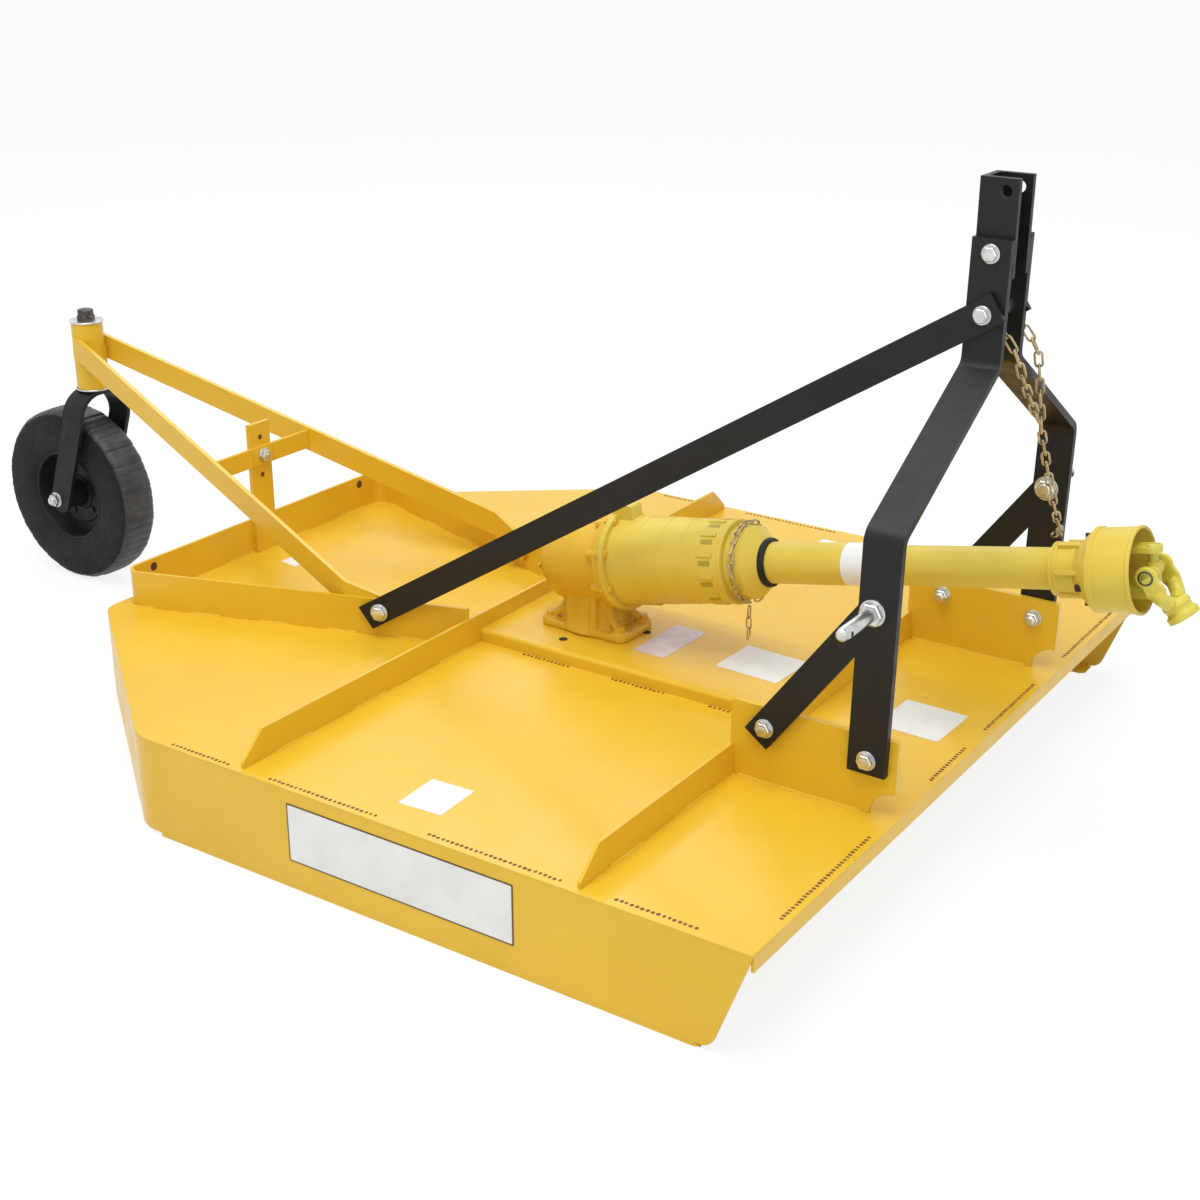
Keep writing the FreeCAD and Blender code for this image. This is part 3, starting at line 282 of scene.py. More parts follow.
def paint(name, dark, light, roughness, drift, grain, depth, coat=0.0, specular=0.5):
    """Paint with slow colour drift, uneven gloss and a fine surface grain of some depth."""
    material, tree, shader = new_material(name, light, roughness, 0.0, coat, specular)
    shade = ramp(tree, noise(tree, drift), [(0.3, dark), (0.7, light)])
    tree.links.new(shade, shader.inputs["Base Color"])
    low = (roughness - 0.06,) * 3
    high = (roughness + 0.08,) * 3
    gloss = ramp(tree, noise(tree, drift * 5), [(0.35, low), (0.7, high)])
    tree.links.new(gloss, shader.inputs["Roughness"])
    bump(tree, shader, noise(tree, grain, 6.0), 0.25, depth)
    return material


def metal(name, color, roughness, tarnish=60.0):
    """Bare or plated metal with a patchy tint and a fine grain."""
    material, tree, shader = new_material(name, color, roughness, metallic=1.0)
    darker = tuple(part * 0.7 for part in color)
    tint = ramp(tree, noise(tree, tarnish), [(0.3, darker), (0.65, color)])
    tree.links.new(tint, shader.inputs["Base Color"])
    bump(tree, shader, noise(tree, tarnish * 4), 0.2, 0.0005, 0.0006)
    return material


# Paints: name, dark colour, light colour, roughness, drift scale, grain scale, grain depth.
DECK = paint("deck_yellow", (0.74, 0.455, 0.022), (0.80, 0.505, 0.030), 0.36, 3.0, 160.0, 0.0006,
             coat=0.15, specular=0.35)
CAST = paint("cast_yellow", (0.68, 0.405, 0.018), (0.78, 0.485, 0.026), 0.45, 9.0, 320.0, 0.0018)
PLASTIC = paint("guard_plastic", (0.66, 0.48, 0.045), (0.74, 0.56, 0.075), 0.48, 6.0, 200.0, 0.0004)
BLACK = paint("satin_black", (0.005, 0.005, 0.0055), (0.009, 0.0085, 0.009), 0.46, 8.0, 240.0, 0.0006,
              specular=0.35)
RIM = paint("rim_black", (0.006, 0.006, 0.006), (0.012, 0.011, 0.011), 0.55, 12.0, 240.0, 0.0008,
            specular=0.3)
RUBBER = paint("tyre_rubber", (0.006, 0.006, 0.006), (0.016, 0.0155, 0.015), 0.7, 14.0, 220.0, 0.002,
               specular=0.25)
# Tread: a lighter copy of the tyre's rubber, the painted sheen of the tread's highlights.
TREAD_SHEEN = paint("tyre_tread_sheen", (0.014, 0.014, 0.015), (0.050, 0.050, 0.054), 0.5, 26.0, 220.0, 0.002)
SEAL = paint("black_seal", (0.008, 0.008, 0.009), (0.012, 0.012, 0.013), 0.55, 20.0, 200.0, 0.0005,
             specular=0.3)
ZINC = metal("zinc", (0.72, 0.74, 0.72), 0.32)
STEEL = metal("bare_steel", (0.20, 0.19, 0.18), 0.45)
DARK_STEEL = metal("dark_nut", (0.10, 0.095, 0.085), 0.35)
CHAIN = metal("chain_zinc", (0.54, 0.44, 0.27), 0.36)
# Darker copy of the guard's plastic: painted shade in the guard's slots.
RECESS_SHADE = paint("painted_recess_shade", (0.34, 0.25, 0.02), (0.46, 0.35, 0.035), 0.5, 20.0, 200.0, 0.0004)
YOKE = paint("yoke_olive", (0.56, 0.47, 0.035), (0.70, 0.60, 0.08), 0.34, 18.0, 260.0, 0.001)
WHITE = paint("label_white", (0.74, 0.76, 0.74), (0.84, 0.85, 0.82), 0.38, 14.0, 90.0, 0.0002)
LILAC = paint("label_lilac", (0.62, 0.52, 0.60), (0.78, 0.70, 0.72), 0.4, 40.0, 90.0, 0.0002)
# Dark brown: the side panel's printed border, and painted shade in the gap at the gearbox's flange.
BORDER_AND_GAP_SHADE = paint("label_border_and_gap_shade", (0.10, 0.05, 0.01), (0.16, 0.08, 0.02), 0.5, 20.0, 90.0, 0.0002)
STITCH = paint("weld_mark", (0.13, 0.035, 0.006), (0.28, 0.10, 0.012), 0.6, 90.0, 300.0, 0.001)
# Near black: painted shade inside holes, bores and slots.
HOLE_SHADE = paint("painted_hole_shade", (0.012, 0.008, 0.006), (0.05, 0.02, 0.01), 0.8, 40.0, 200.0, 0.0005)
# Dark red-brown: rust in the tail frame's holes, with painted shade of their openings.
RUST_AND_SHADE = paint("hole_rust_and_shade", (0.07, 0.022, 0.008), (0.16, 0.055, 0.014), 0.8, 40.0, 200.0, 0.0005)

NODE_LOOKS = {"drive_shaft": YOKE, "joint_cross": YOKE}
SLOT_LOOKS = {
    "deck_paint": DECK, "cast_paint": CAST, "guard_plastic": PLASTIC, "hitch_paint": BLACK,
    "rim_paint": RIM, "tyre_rubber": RUBBER, "zinc_steel": ZINC, "bare_steel": STEEL,
    "chain_plating": CHAIN,
}


def dress_nodes():
    """Give every CAD node the look of its material slot, or the look that NODE_LOOKS gives it by name."""
    slots = {row["node"]: row["material_slot"] for row in frame["record"]["subparts"]}
    for name, piece in frame["nodes"].items():
        look = NODE_LOOKS.get(name) or SLOT_LOOKS[slots[name]]
        if not piece.material_slots:
            piece.data.materials.append(look)
        for place in piece.material_slots:
            place.material = look


def ring_pairs(rings, closed):
    """Neighbouring rings, and the last with the first where the row is closed."""
    pairs = list(zip(rings, rings[1:]))
    if closed:
        pairs.append((rings[-1], rings[0]))
    return pairs


def join_rings(bm, rings, closed=False):
    """Skin between neighbouring rings with as many corners each."""
    for a, b in ring_pairs(rings, closed):
        for k in range(len(a)):
            j = (k + 1) % len(a)
            bm.faces.new([a[k], a[j], b[j], b[k]])


def lathe(bm, rows, matrix, segments, closed=False):
    """Surface of revolution about the frame's Z from rows of height, radius."""
    rings = []
    for z, r in rows:
        if r == 0:
            rings.append([bm.verts.new(matrix @ Vector((0, 0, z * MM)))])
            continue
        ring = []
        for i in range(segments):
            a = 2 * math.pi * i / segments
            ring.append(bm.verts.new(matrix @ (polar(r, a, z) * MM)))
        rings.append(ring)
    for low, high in ring_pairs(rings, closed):
        for i in range(segments):
            j = (i + 1) % segments
            corners = [low[i % len(low)], low[j % len(low)], high[j % len(high)], high[i % len(high)]]
            corners = list(dict.fromkeys(corners))
            if len(corners) > 2:
                bm.faces.new(corners)


def slab(bm, outline, low, high, matrix, edge=0.0):
    """Flat piece from an outline of x, y, between two heights, its upper edge drawn in."""
    centre = Vector((sum(p[0] for p in outline), sum(p[1] for p in outline), 0)) / len(outline)
    levels = [(low, 0), (high - edge, 0), (high, edge)] if edge else [(low, 0), (high, 0)]
    rings = []
    for z, inset in levels:
        ring = []
        for x, y in outline:
            point = Vector((x, y, 0))
            inward = (centre - point).normalized() * inset
            ring.append(bm.verts.new(matrix @ ((point + inward + Vector((0, 0, z))) * MM)))
        rings.append(ring)
    join_rings(bm, rings)
    bm.faces.new(rings[0][::-1])
    bm.faces.new(rings[-1])


def rounded_box(width, length, radius, steps=5):
    """Outline of a rectangle about the origin with round corners."""
    outline = []
    corners = [(1, 1, 0), (-1, 1, 90), (-1, -1, 180), (1, -1, 270)]
    for sx, sy, turn in corners:
        for i in range(steps + 1):
            a = math.radians(turn + 90 * i / steps)
            x = sx * (width / 2 - radius) + radius * math.cos(a)
            y = sy * (length / 2 - radius) + radius * math.sin(a)
            outline.append((x, y))
    return outline


def hexagon(bm, matrix, radius, low, high):
    """Hexagonal head with a chamfered top."""
    turns = [math.radians(60 * i) for i in range(6)]
    outline = [(radius * math.cos(a), radius * math.sin(a)) for a in turns]
    slab(bm, outline, low, high, matrix, edge=radius * 0.12)


def washer(bm, matrix, radius, low, high):
    """Flat ring with a softened outer edge."""
    rows = [
        (low, WASHER_HOLE_R), (low, radius), (high - 0.5, radius), (high, radius - 0.6),
        (high, WASHER_HOLE_R),
    ]
    lathe(bm, rows, matrix, 28, closed=True)


def threads(bm, matrix, radius, low, high):
    """Threaded end with a chamfered tip."""
    half = THREAD_PITCH / 2
    rows = [(low, 0)]
    z = low
    while z < high - 2:
        rows += [(z, radius - half), (z + half, radius)]
        z += THREAD_PITCH
    rows += [(high - 1.2, radius - 0.4), (high, radius - 2), (high, 0)]
    lathe(bm, rows, matrix, 16)


def bolt_head(bm, matrix, radius, height=9.0, seat=2.5):
    """Washer and hexagonal head standing on a face."""
    top = seat + height
    washer(bm, matrix, radius * 1.22, 0, seat)
    hexagon(bm, matrix, radius, seat, top)
    lathe(bm, [(top - 0.2, radius * 0.6), (top + 0.4, radius * 0.5), (top + 0.4, 0)], matrix, 20)


def nut(bm, matrix, radius, height=11.0, stub=7.0, seat=2.5):
    """Washer, nut and the bolt's threaded end."""
    top = seat + height
    washer(bm, matrix, radius * 1.22, 0, seat)
    hexagon(bm, matrix, radius, seat, top)
    threads(bm, matrix, radius * 0.6, top - 1, top + stub)


def patch(bm, matrix, low, high, turn_from, turn_to, inner, outer, steps):
    """Curved plate on a round surface; turns in degrees, 0 underneath the drive line."""
    rings = []
    for i in range(steps + 1):
        a = math.radians(turn_from + (turn_to - turn_from) * i / steps)
        corner = []
        for z, r in ((low, inner), (high, inner), (high, outer), (low, outer)):
            corner.append(bm.verts.new(matrix @ (polar(r, a, z) * MM)))
        rings.append(corner)
    join_rings(bm, rings)
    bm.faces.new(rings[0])
    bm.faces.new(rings[-1][::-1])


def tube_along(bm, points, radii, sides=8, flat=1.0):
    """Tube through points with a radius at each; flat squashes it in height."""
    rings = []
    last = len(points) - 1
    for i, point in enumerate(points):
        run = (points[min(i + 1, last)] - points[max(i - 1, 0)]).normalized()
        across = run.cross(Vector((0, 0, 1)))
        if across.length < 0.1:
            across = run.cross(Vector((0, 1, 0)))
        across.normalize()
        lift = across.cross(run).normalized() * flat
        ring = []
        for k in range(sides):
            a = 2 * math.pi * k / sides
            ring.append(bm.verts.new(point + (across * math.cos(a) + lift * math.sin(a)) * radii[i] * MM))
        rings.append(ring)
    join_rings(bm, rings)
    bm.faces.new(rings[0][::-1])
    bm.faces.new(rings[-1])


def weld(bm, start, end, radius=WELD_R):
    """Rippled weld bead between two places."""
    a = at(*start)
    b = at(*end)
    length = (b - a).length / MM
    count = max(4, int(length / WELD_RIPPLE))
    points = [a.lerp(b, i / count) for i in range(count + 1)]
    radii = [radius * (0.86 + 0.14 * math.cos(i * 2.1)) for i in range(count + 1)]
    radii[0] = radius * 0.3
    radii[-1] = radius * 0.3
    tube_along(bm, points, radii, 8, 0.8)


def disc(bm, place, direction, radius):
    """Shallow disc that stands for an open hole in a face; its dark colour is painted shade inside the
    hole.
    """
    rows = [(0.02, 0), (0.02, radius - 0.2), (0.4, radius), (0.4, 0)]
    lathe(bm, rows, facing(at(*place), direction), 24)


def finish_piece(name, bm, look, body, nodes=()):
    """Turn a mesh under work into a piece that rides on a body."""
    bmesh.ops.recalc_face_normals(bm, faces=bm.faces)
    mesh = bpy.data.meshes.new(name)
    bm.to_mesh(mesh)
    bm.free()
    piece = bpy.data.objects.new(name, mesh)
    bpy.context.collection.objects.link(piece)
    mesh.materials.append(look)
    mesh.shade_smooth()
    mesh.set_sharp_from_angle(angle=SHARP_ANGLE)
    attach(piece, body)
    if nodes:
        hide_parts(*nodes)
    return piece


def cast_skin(piece, voxel, rounds):
    """Melt overlapping forms into one casting with soft fillets."""
    skin = piece.modifiers.new("skin", "REMESH")
    skin.mode = "VOXEL"
    skin.voxel_size = voxel * MM
    fillets = piece.modifiers.new("fillets", "SMOOTH")
    fillets.factor = 0.5
    fillets.iterations = rounds
    graph = bpy.context.evaluated_depsgraph_get()
    mesh = bpy.data.meshes.new_from_object(piece.evaluated_get(graph))
    piece.modifiers.clear()
    piece.data = mesh
    mesh.shade_smooth()


def tail_bar_normal(side):
    """Outward direction of the tail frame's side bar."""
    length = math.hypot(1, TAIL_SLOPE)
    return Vector((TAIL_SLOPE / length, side / length, 0))


def tail_bar_y(x):
    """Distance of the tail frame's side bar from the middle."""
    return TAIL_FRONT_HALF + TAIL_SLOPE * (REAR_RIB_X - x)


def frame_bolts():
    """Bolts of the hitch's feet, the braces and the tail post."""
    bm = bmesh.new()
    for side in (-1, 1):
        for x, z in (LEG_FOOT, STRUT_FOOT):
            bolt_head(bm, facing(at(x, side * LEG_OUTER, z), (0, side, 0)), FOOT_HEAD_R)
            nut(bm, facing(at(x, side * BRACKET_INNER, z), (0, -side, 0)), FOOT_HEAD_R)
        x, z = TAIL_BOLT
        normal = tail_bar_normal(side)
        middle = Vector((x, side * tail_bar_y(x), z))
        bolt_head(bm, facing(at(*(middle + normal * BRACE_STACK)), normal), BRACE_HEAD_R)
        nut(bm, facing(at(*(middle - normal * BRACE_STACK)), -normal), BRACE_HEAD_R)
    bolt_head(bm, facing(at(CROSSBAR_FACE, 0.0, POST_BOLT_Z), (1, 0, 0)), POST_HEAD_R)
    nut(bm, facing(at(POST_BACK, 0.0, POST_BOLT_Z), (-1, 0, 0)), POST_HEAD_R, stub=4.0)
    finish_piece("frame_bolts", bm, ZINC, "mower_frame")


def hitch_bolt_set():
    """The two bolts through the hitch top and the lower one's spacer."""
    bm = bmesh.new()
    for (x, z), face in ((UPPER_BOLT, HITCH_FACE), (LOWER_BOLT, BRACE_FACE)):
        shank = facing(at(x, -face, z), (0, 1, 0))
        lathe(bm, [(0, 0), (0, SHANK_R), (2 * face, SHANK_R), (2 * face, 0)], shank, 24)
        bolt_head(bm, facing(at(x, -face, z), (0, -1, 0)), HITCH_HEAD_R, height=8.5)
        nut(bm, facing(at(x, face, z), (0, 1, 0)), HITCH_HEAD_R, height=12.0, stub=5.0)
    x, z = LOWER_BOLT
    width = 2 * SPACER_HALF
    spacer = facing(at(x, -SPACER_HALF, z), (0, 1, 0))
    lathe(bm, [(0, SHANK_R), (0, SPACER_R), (width, SPACER_R), (width, SHANK_R)], spacer, 28, closed=True)
    finish_piece("hitch_bolt_set", bm, ZINC, "mower_frame", ["hitch_bolts"])


def lift_pin_set():
    """Lower-link pins with collar, cross hole, domed end and inner nut."""
    rows = [
        (-12, 0), (-12, 22), (0, 22), (1, 22), (5, 21.5), (6, 20), (6, 17.5), (13, 17), (14, 11), (98, 11),
        (99, 10.4), (102, 10.4), (107, 9.2), (109.5, 6), (110, 0),
    ]
    hole_rows = [(10.6, 0), (10.6, 4.4), (11.25, 4.2), (11.25, 0)]
    bm = bmesh.new()
    holes = bmesh.new()
    x, z = LIFT_PIN
    for side in (-1, 1):
        out = facing(at(x, side * LEG_OUTER, z), (0, side, 0))
        lathe(bm, rows, out, 32)
        hexagon(bm, facing(at(x, side * (LEG_OUTER + LIFT_COLLAR), z), (0, side, 0)), 19.5, 0, 9)
        inside = facing(at(x, side * BRACKET_OUTER, z), (0, -side, 0))
        nut(bm, inside, 18.5, height=9.5, stub=2.0, seat=1.0)
        for turn in (0.0, math.pi):
            place = out @ Matrix.Translation((0, 0, LIFT_HOLE_REACH * MM)) @ Matrix.Rotation(turn, 4, "Z")
            lathe(holes, hole_rows, place @ Matrix.Rotation(math.pi / 2, 4, "Y"), 20)
    finish_piece("lift_pin_set", bm, ZINC, "mower_frame", ["lift_pins"])
    # The cross holes' dark discs are painted shade inside the holes.
    finish_piece("lift_pin_holes", holes, HOLE_SHADE, "mower_frame")


def axle_bolt():
    """Tail-wheel bolt with hexagonal head and nut."""
    bm = bmesh.new()
    shank = facing(at(AXLE_X, 0, AXLE_Z), (0, 1, 0))
    lathe(bm, [(-FORK_HALF, 0), (-FORK_HALF, SHANK_R), (FORK_HALF, SHANK_R), (FORK_HALF, 0)], shank, 24)
    head = facing(at(AXLE_X, -FORK_HALF, AXLE_Z), (0, -1, 0))
    washer(bm, head, AXLE_WASHER_R, 0, AXLE_WASHER)
    hexagon(bm, head, AXLE_HEAD_R, AXLE_WASHER, 14)
    threads(bm, head, SHANK_R, 13, 20)
    tail = facing(at(AXLE_X, FORK_HALF, AXLE_Z), (0, 1, 0))
    washer(bm, tail, AXLE_WASHER_R, 0, AXLE_WASHER)
    hexagon(bm, tail, AXLE_HEAD_R, AXLE_WASHER, 13)
    finish_piece("axle_bolt", bm, ZINC, "caster", ["caster_axle"])


def swivel_washers():
    """Plated washers under and over the swivel tube."""
    bm = bmesh.new()
    axis = facing(at(SWIVEL_X, 0, 0), (0, 0, 1))
    edge = SWIVEL_WASHER_R - 0.6
    under = (SWIVEL_FOOT - WASHER_REACH, SWIVEL_FOOT - WASHER_GAP)
    over = (SWIVEL_HEAD + WASHER_GAP, SWIVEL_HEAD + WASHER_REACH)
    for low, high in (under, over):
        rows = [
            (low, SWIVEL_WASHER_HOLE_R), (low, edge), (low + 0.8, SWIVEL_WASHER_R),
            (high - 0.8, SWIVEL_WASHER_R), (high, edge), (high, SWIVEL_WASHER_HOLE_R),
        ]
        lathe(bm, rows, axis, 48, closed=True)
    finish_piece("swivel_washers", bm, ZINC, "caster")


def swivel_nut():
    """Dark nut on top of the swivel pin, with the pin's rounded end."""
    bm = bmesh.new()
    axis = facing(at(SWIVEL_X, 0, 0), (0, 0, 1))
    top = SWIVEL_HEAD + WASHER_REACH
    hexagon(bm, axis, SWIVEL_NUT_R, top, top + 12)
    rows = [(11.5, 0), (11.5, 17.8), (22, 17.4), (23.2, 16.4), (24.6, 12), (25.2, 0)]
    lathe(bm, [(top + rise, r) for rise, r in rows], axis, 28)
    finish_piece("swivel_nut", bm, DARK_STEEL, "caster")


def tread_ridges():
    """Depth of each lamination's edge, in uneven runs with a groove after each."""
    random.seed(7)
    ridges = []
    height = 0.0
    for i in range(LAMINATIONS):
        if i % LAMINATION_RUN == 0:
            height = random.uniform(-2.4, 0.0)
        ridges.append(height - (1.6 if i % LAMINATION_RUN == LAMINATION_RUN - 1 else 0.0))
    return ridges


def tyre():
    """Laminated solid tyre with ridged tread, worn shoulders and plain sides; the tread takes a lighter
    rubber as a painted sheen.
    """
    # Half of the section: distance from the tread's middle, radius, share of the ridges.
    half = [
        (0, 205, 1), (15, 205, 1), (28, 204.2, 1), (37, 201, 1), (43, 195, 0.8), (47, 186, 0.4),
        (48.6, 172, 0.1), (49.6, 150, 0), (49, 122, 0), (44, 112, 0), (38, 104, 0),
    ]
    section = [(-y, r, share) for y, r, share in half[:0:-1]] + half
    bm = bmesh.new()
    rings = []
    for i, ridge in enumerate(tread_ridges()):
        a = 2 * math.pi * i / LAMINATIONS
        ring = []
        for y, r, share in section:
            radius = r + ridge * share
            ring.append(bm.verts.new(at(AXLE_X + radius * math.sin(a), y, AXLE_Z - radius * math.cos(a))))
        rings.append(ring)
    join_rings(bm, rings, closed=True)
    piece = finish_piece("laminated_tyre", bm, RUBBER, "tail_wheel", ["wheel_tyre"])
    # Faces out on the tread take the lighter rubber: a painted sheen.
    piece.data.materials.append(TREAD_SHEEN)
    middle = at(AXLE_X, 0, AXLE_Z)
    for face in piece.data.polygons:
        if math.hypot(face.center.x - middle.x, face.center.z - middle.z) > TREAD_SHEEN_START * MM:
            face.material_index = 1


def wheel_fittings():
    """Bolts and pressed rings on the wheel's disc, hub ends beside the fork."""
    rings = [
        ([(8, 34), (11, 36), (12, 39), (11, 42), (7, 44)], 48),
        ([(6, 62), (9, 66), (9, 71), (6, 75)], 48),
        ([(38, 100), (41, 101), (42, 104), (40.5, 107), (36, 108)], 64),
        ([(54, 10), (56, 13), (58.5, 14), (58.5, 24), (56, 26.5), (50, 26.5)], 36),
    ]
    bm = bmesh.new()
    for side in (-1, 1):
        axis = facing(at(AXLE_X, 0, AXLE_Z), (0, side, 0))
        for rows, segments in rings:
            lathe(bm, rows, axis, segments)
        for i in range(WHEEL_BOLTS):
            a = 2 * math.pi * i / WHEEL_BOLTS + 0.5
            place = axis @ Matrix.Translation(polar(WHEEL_BOLT_CIRCLE, a, 5.5) * MM)
            hexagon(bm, place, 8.5, 0, 6)
    finish_piece("wheel_fittings", bm, RIM, "tail_wheel")


def gearbox_foot(bm):
    """Foot plate with its bosses, the round column, its ribs and the corner webs."""
    up = Matrix.Translation(at(ROTOR_X, 0, 0))
    slab(bm, rounded_box(FOOT_LENGTH, FOOT_WIDTH, 18), CHANNEL_TOP, FOOT_TOP, up)
    for sx, sy in QUADRANTS:
        place = Matrix.Translation(at(ROTOR_X + sx * FOOT_BOLT_X, sy * FOOT_BOLT_Y, 0))
        lathe(bm, [(212, 0), (212, 17), (229, 15), (229, 0)], place, 24)
    lathe(bm, [(212, 0), (212, 66), (228, 60), (244, 57), (330, 53), (362, 52), (362, 0)], up, 40)
    for turn in (30, 62, 118, 150, 210, 242, 298, 330):
        a = math.radians(turn)
        place = Matrix.Translation(at(ROTOR_X + RIB_CIRCLE * math.cos(a), RIB_CIRCLE * math.sin(a), 0))
        lathe(bm, [(214, 0), (214, 11), (240, 8.5), (318, 7.5), (345, 6), (345, 0)], place, 14)
    web = ((88, 42, 222), (60, 32, 240), (34, 18, 275))
    for sx, sy in QUADRANTS:
        points = [at(ROTOR_X + sx * x, sy * y, z) for x, y, z in web]
        tube_along(bm, points, [8, 9, 9], 10)


def gearbox_casting():
    """Foot, barrel with flange bosses and filler neck, melted into one casting."""
    bm = bmesh.new()
    gearbox_foot(bm)
    line = on_line(0)
    barrel = [
        (-178, 0), (-178, 50), (-170, 58), (-158, 60), (-154, 74), (-140, 77), (-60, 79), (-34, 80),
        (-29, 90), (-12, 90), (-12, 0),
    ]
    lathe(bm, barrel, line, 56)
    for i in range(FLANGE_BOLTS):
        place = round_line(line, FLANGE_BOSS_CIRCLE, 360 * i / FLANGE_BOLTS + FLANGE_TURN)
        lathe(bm, [(-44, 0), (-44, 7), (-14, 8.5), (-14, 0)], place, 14)
    neck = [(400, 0), (400, 21), (432, 19), (434, 17), (434, 0)]
    lathe(bm, neck, Matrix.Translation(at(ROTOR_X, 0, 0)), 28)
    piece = finish_piece("gearbox_casting", bm, CAST, "mower_frame", ["gearbox_housing"])
    cast_skin(piece, 2.2, 4)


def gearbox_bolts():
    """Painted bolts of the foot, the guard's flange, the rear cap and the filler plug."""
    bm = bmesh.new()
    for sx, sy in QUADRANTS:
        place = facing(at(ROTOR_X + sx * FOOT_BOLT_X, sy * FOOT_BOLT_Y, BOSS_TOP), (0, 0, 1))
        bolt_head(bm, place, 11.0, height=7.5, seat=2.0)
    line = on_line(0)
    backwards = Matrix.Rotation(math.pi, 4, "X")
    for i in range(FLANGE_BOLTS):
        place = round_line(line, FLANGE_BOLT_CIRCLE, 360 * i / FLANGE_BOLTS + FLANGE_TURN)
        hexagon(bm, place, 7.2, -0.5, 5)
        hexagon(bm, place @ backwards, 8.2, 12, 20)
    for i in range(CAP_BOLTS):
        place = round_line(line, CAP_BOLT_CIRCLE, 30 + 360 * i / CAP_BOLTS, CAP_FACE)
        hexagon(bm, place @ backwards, 6.5, 0, 5)
    hexagon(bm, facing(at(ROTOR_X, 0, PLUG_SEAT), (0, 0, 1)), 12, 0, 7.5)
    finish_piece("gearbox_bolts", bm, CAST, "mower_frame")


def flange_gap_shade():
    """Thin dark edge between the gearbox's flange and its guard: painted shade in the gap."""
    bm = bmesh.new()
    lathe(bm, [(-13.2, 86), (-13.2, 91.5), (-11.2, 91.5), (-11.2, 86)], on_line(0), 64, closed=True)
    finish_piece("flange_gap_shade", bm, BORDER_AND_GAP_SHADE, "mower_frame")


def guard_mouldings():
    """Moulded rings, lugs between the slots and the end rim of the gearbox guard."""
    line = on_line(0)
    bm = bmesh.new()
    for s in (3, 60, 108, 156, 236):
        r = guard_radius(s)
        lathe(bm, [(s - 2.5, r - 1), (s - 1.5, r + 0.8), (s + 1.5, r + 0.7), (s + 2.5, r - 1)], line, 72)
    r = guard_radius(SLOT_S)
    for turn in range(0, 360, SLOT_PITCH):
        patch(bm, line, SLOT_S - 13, SLOT_S + 19, turn + 2, turn + 7, r - 1, r + 2.2, 2)
    lathe(bm, [(236, 74), (237, 77.5), (242, 77.5), (243.2, 74)], line, 72)
    finish_piece("guard_mouldings", bm, PLASTIC, "mower_frame")


def guard_slots():
    """Slots round the gearbox guard and the one near its flange, in darker plastic: painted shade of their
    recesses.
    """
    line = on_line(0)
    r = guard_radius(SLOT_S)
    bm = bmesh.new()
    for turn in range(0, 360, SLOT_PITCH):
        patch(bm, line, SLOT_S - 9, SLOT_S + 15, turn + 12, turn + 19, r - 2, r + 0.3, 3)
    patch(bm, line, 26, 66, -16, -9, 80, 84.7, 4)
    finish_piece("guard_slots", bm, RECESS_SHADE, "mower_frame")


def guard_seal():
    """Black ring where the drive shaft's tube leaves the guard's cone."""
    rows = [(298, 38), (298, 43.6), (301, 45), (306, 44.4), (310, 41), (310, 38)]
    bm = bmesh.new()
    lathe(bm, rows, on_line(0), 56, closed=True)
    finish_piece("guard_seal", bm, SEAL, "mower_frame")


def bell_mouldings():
    """Rings and ribs on the neck of the front bell, and the rims of its mouth."""
    line = on_line(0)
    bm = bmesh.new()
    for s, r in ((838, 44.5), (846, 44.2), (875, 45.5)):
        lathe(bm, [(s - 3, r - 2), (s - 2, r), (s + 2, r), (s + 3, r - 2)], line, 56)
    lathe(bm, [(902, 66), (905, 69.3), (912, 69.6), (914, 67)], line, 64)
    lathe(bm, [(969, 69.2), (971, 71.4), (976, 71.4), (977, 69)], line, 64)
    for turn in range(15, 375, 60):
        patch(bm, line, 848, 898, turn, turn + 9, 42, 50, 3)
    finish_piece("bell_mouldings", bm, PLASTIC, "front_guard")


def bell_slots():
    """Lock slots in the shoulder of the front bell, dark as painted shade of their openings."""
    line = on_line(0)
    bm = bmesh.new()
    for turn in (40, 160, 280, 340):
        patch(bm, line, 884, 899, turn, turn + 10, 50, 58.5, 4)
    finish_piece("bell_slots", bm, HOLE_SHADE, "front_guard")


def tube_band():
    """Blank white band round the rear tube of the drive shaft's guard."""
    bm = bmesh.new()
    patch(bm, on_line(0), BAND_START, BAND_END, 0, 359.9, BAND_R, BAND_R + BAND_THICKNESS, 64)
    finish_piece("tube_band", bm, WHITE, "mower_frame")


def forged_yoke():
    """Outer yoke as one rounded forging with its splined hub."""
    joint = on_line(JOINT_S, YOKE_DROOP)
    eye = [(-5, 0), (-5, 16.5), (-3, 18), (3, 18), (5, 16.5), (5, 0)]
    arm = [(-14, 4), (14, 4), (15, 27), (9, 46), (-9, 46), (-15, 27)]
    shoulder = ((37, 28), (34.5, 41), (26, 52), (8, 58))
    hub = [
        (53, 0), (53, 17), (58, 23), (64, 24), (68, 22), (74, 22), (77, 26.5), (87.5, 26.5), (87.5, 0),
    ]
    bm = bmesh.new()
    for side in (-1, 1):
        middle = joint @ Matrix.Translation((0, side * EAR_MIDDLE * MM, 0))
        ear = middle @ Matrix.Rotation(math.pi / 2, 4, "X")
        lathe(bm, eye, ear, 36)
        slab(bm, arm, -5, 5, ear)
        points = [joint @ Vector((0, side * y * MM, z * MM)) for y, z in shoulder]
        tube_along(bm, points, [11, 12.5, 12, 10.5], 14)
    lathe(bm, hub, joint, 40)
    piece = finish_piece("forged_yoke", bm, YOKE, "front_yoke", ["tractor_yoke", "yoke_hub"])
    cast_skin(piece, 1.3, 4)


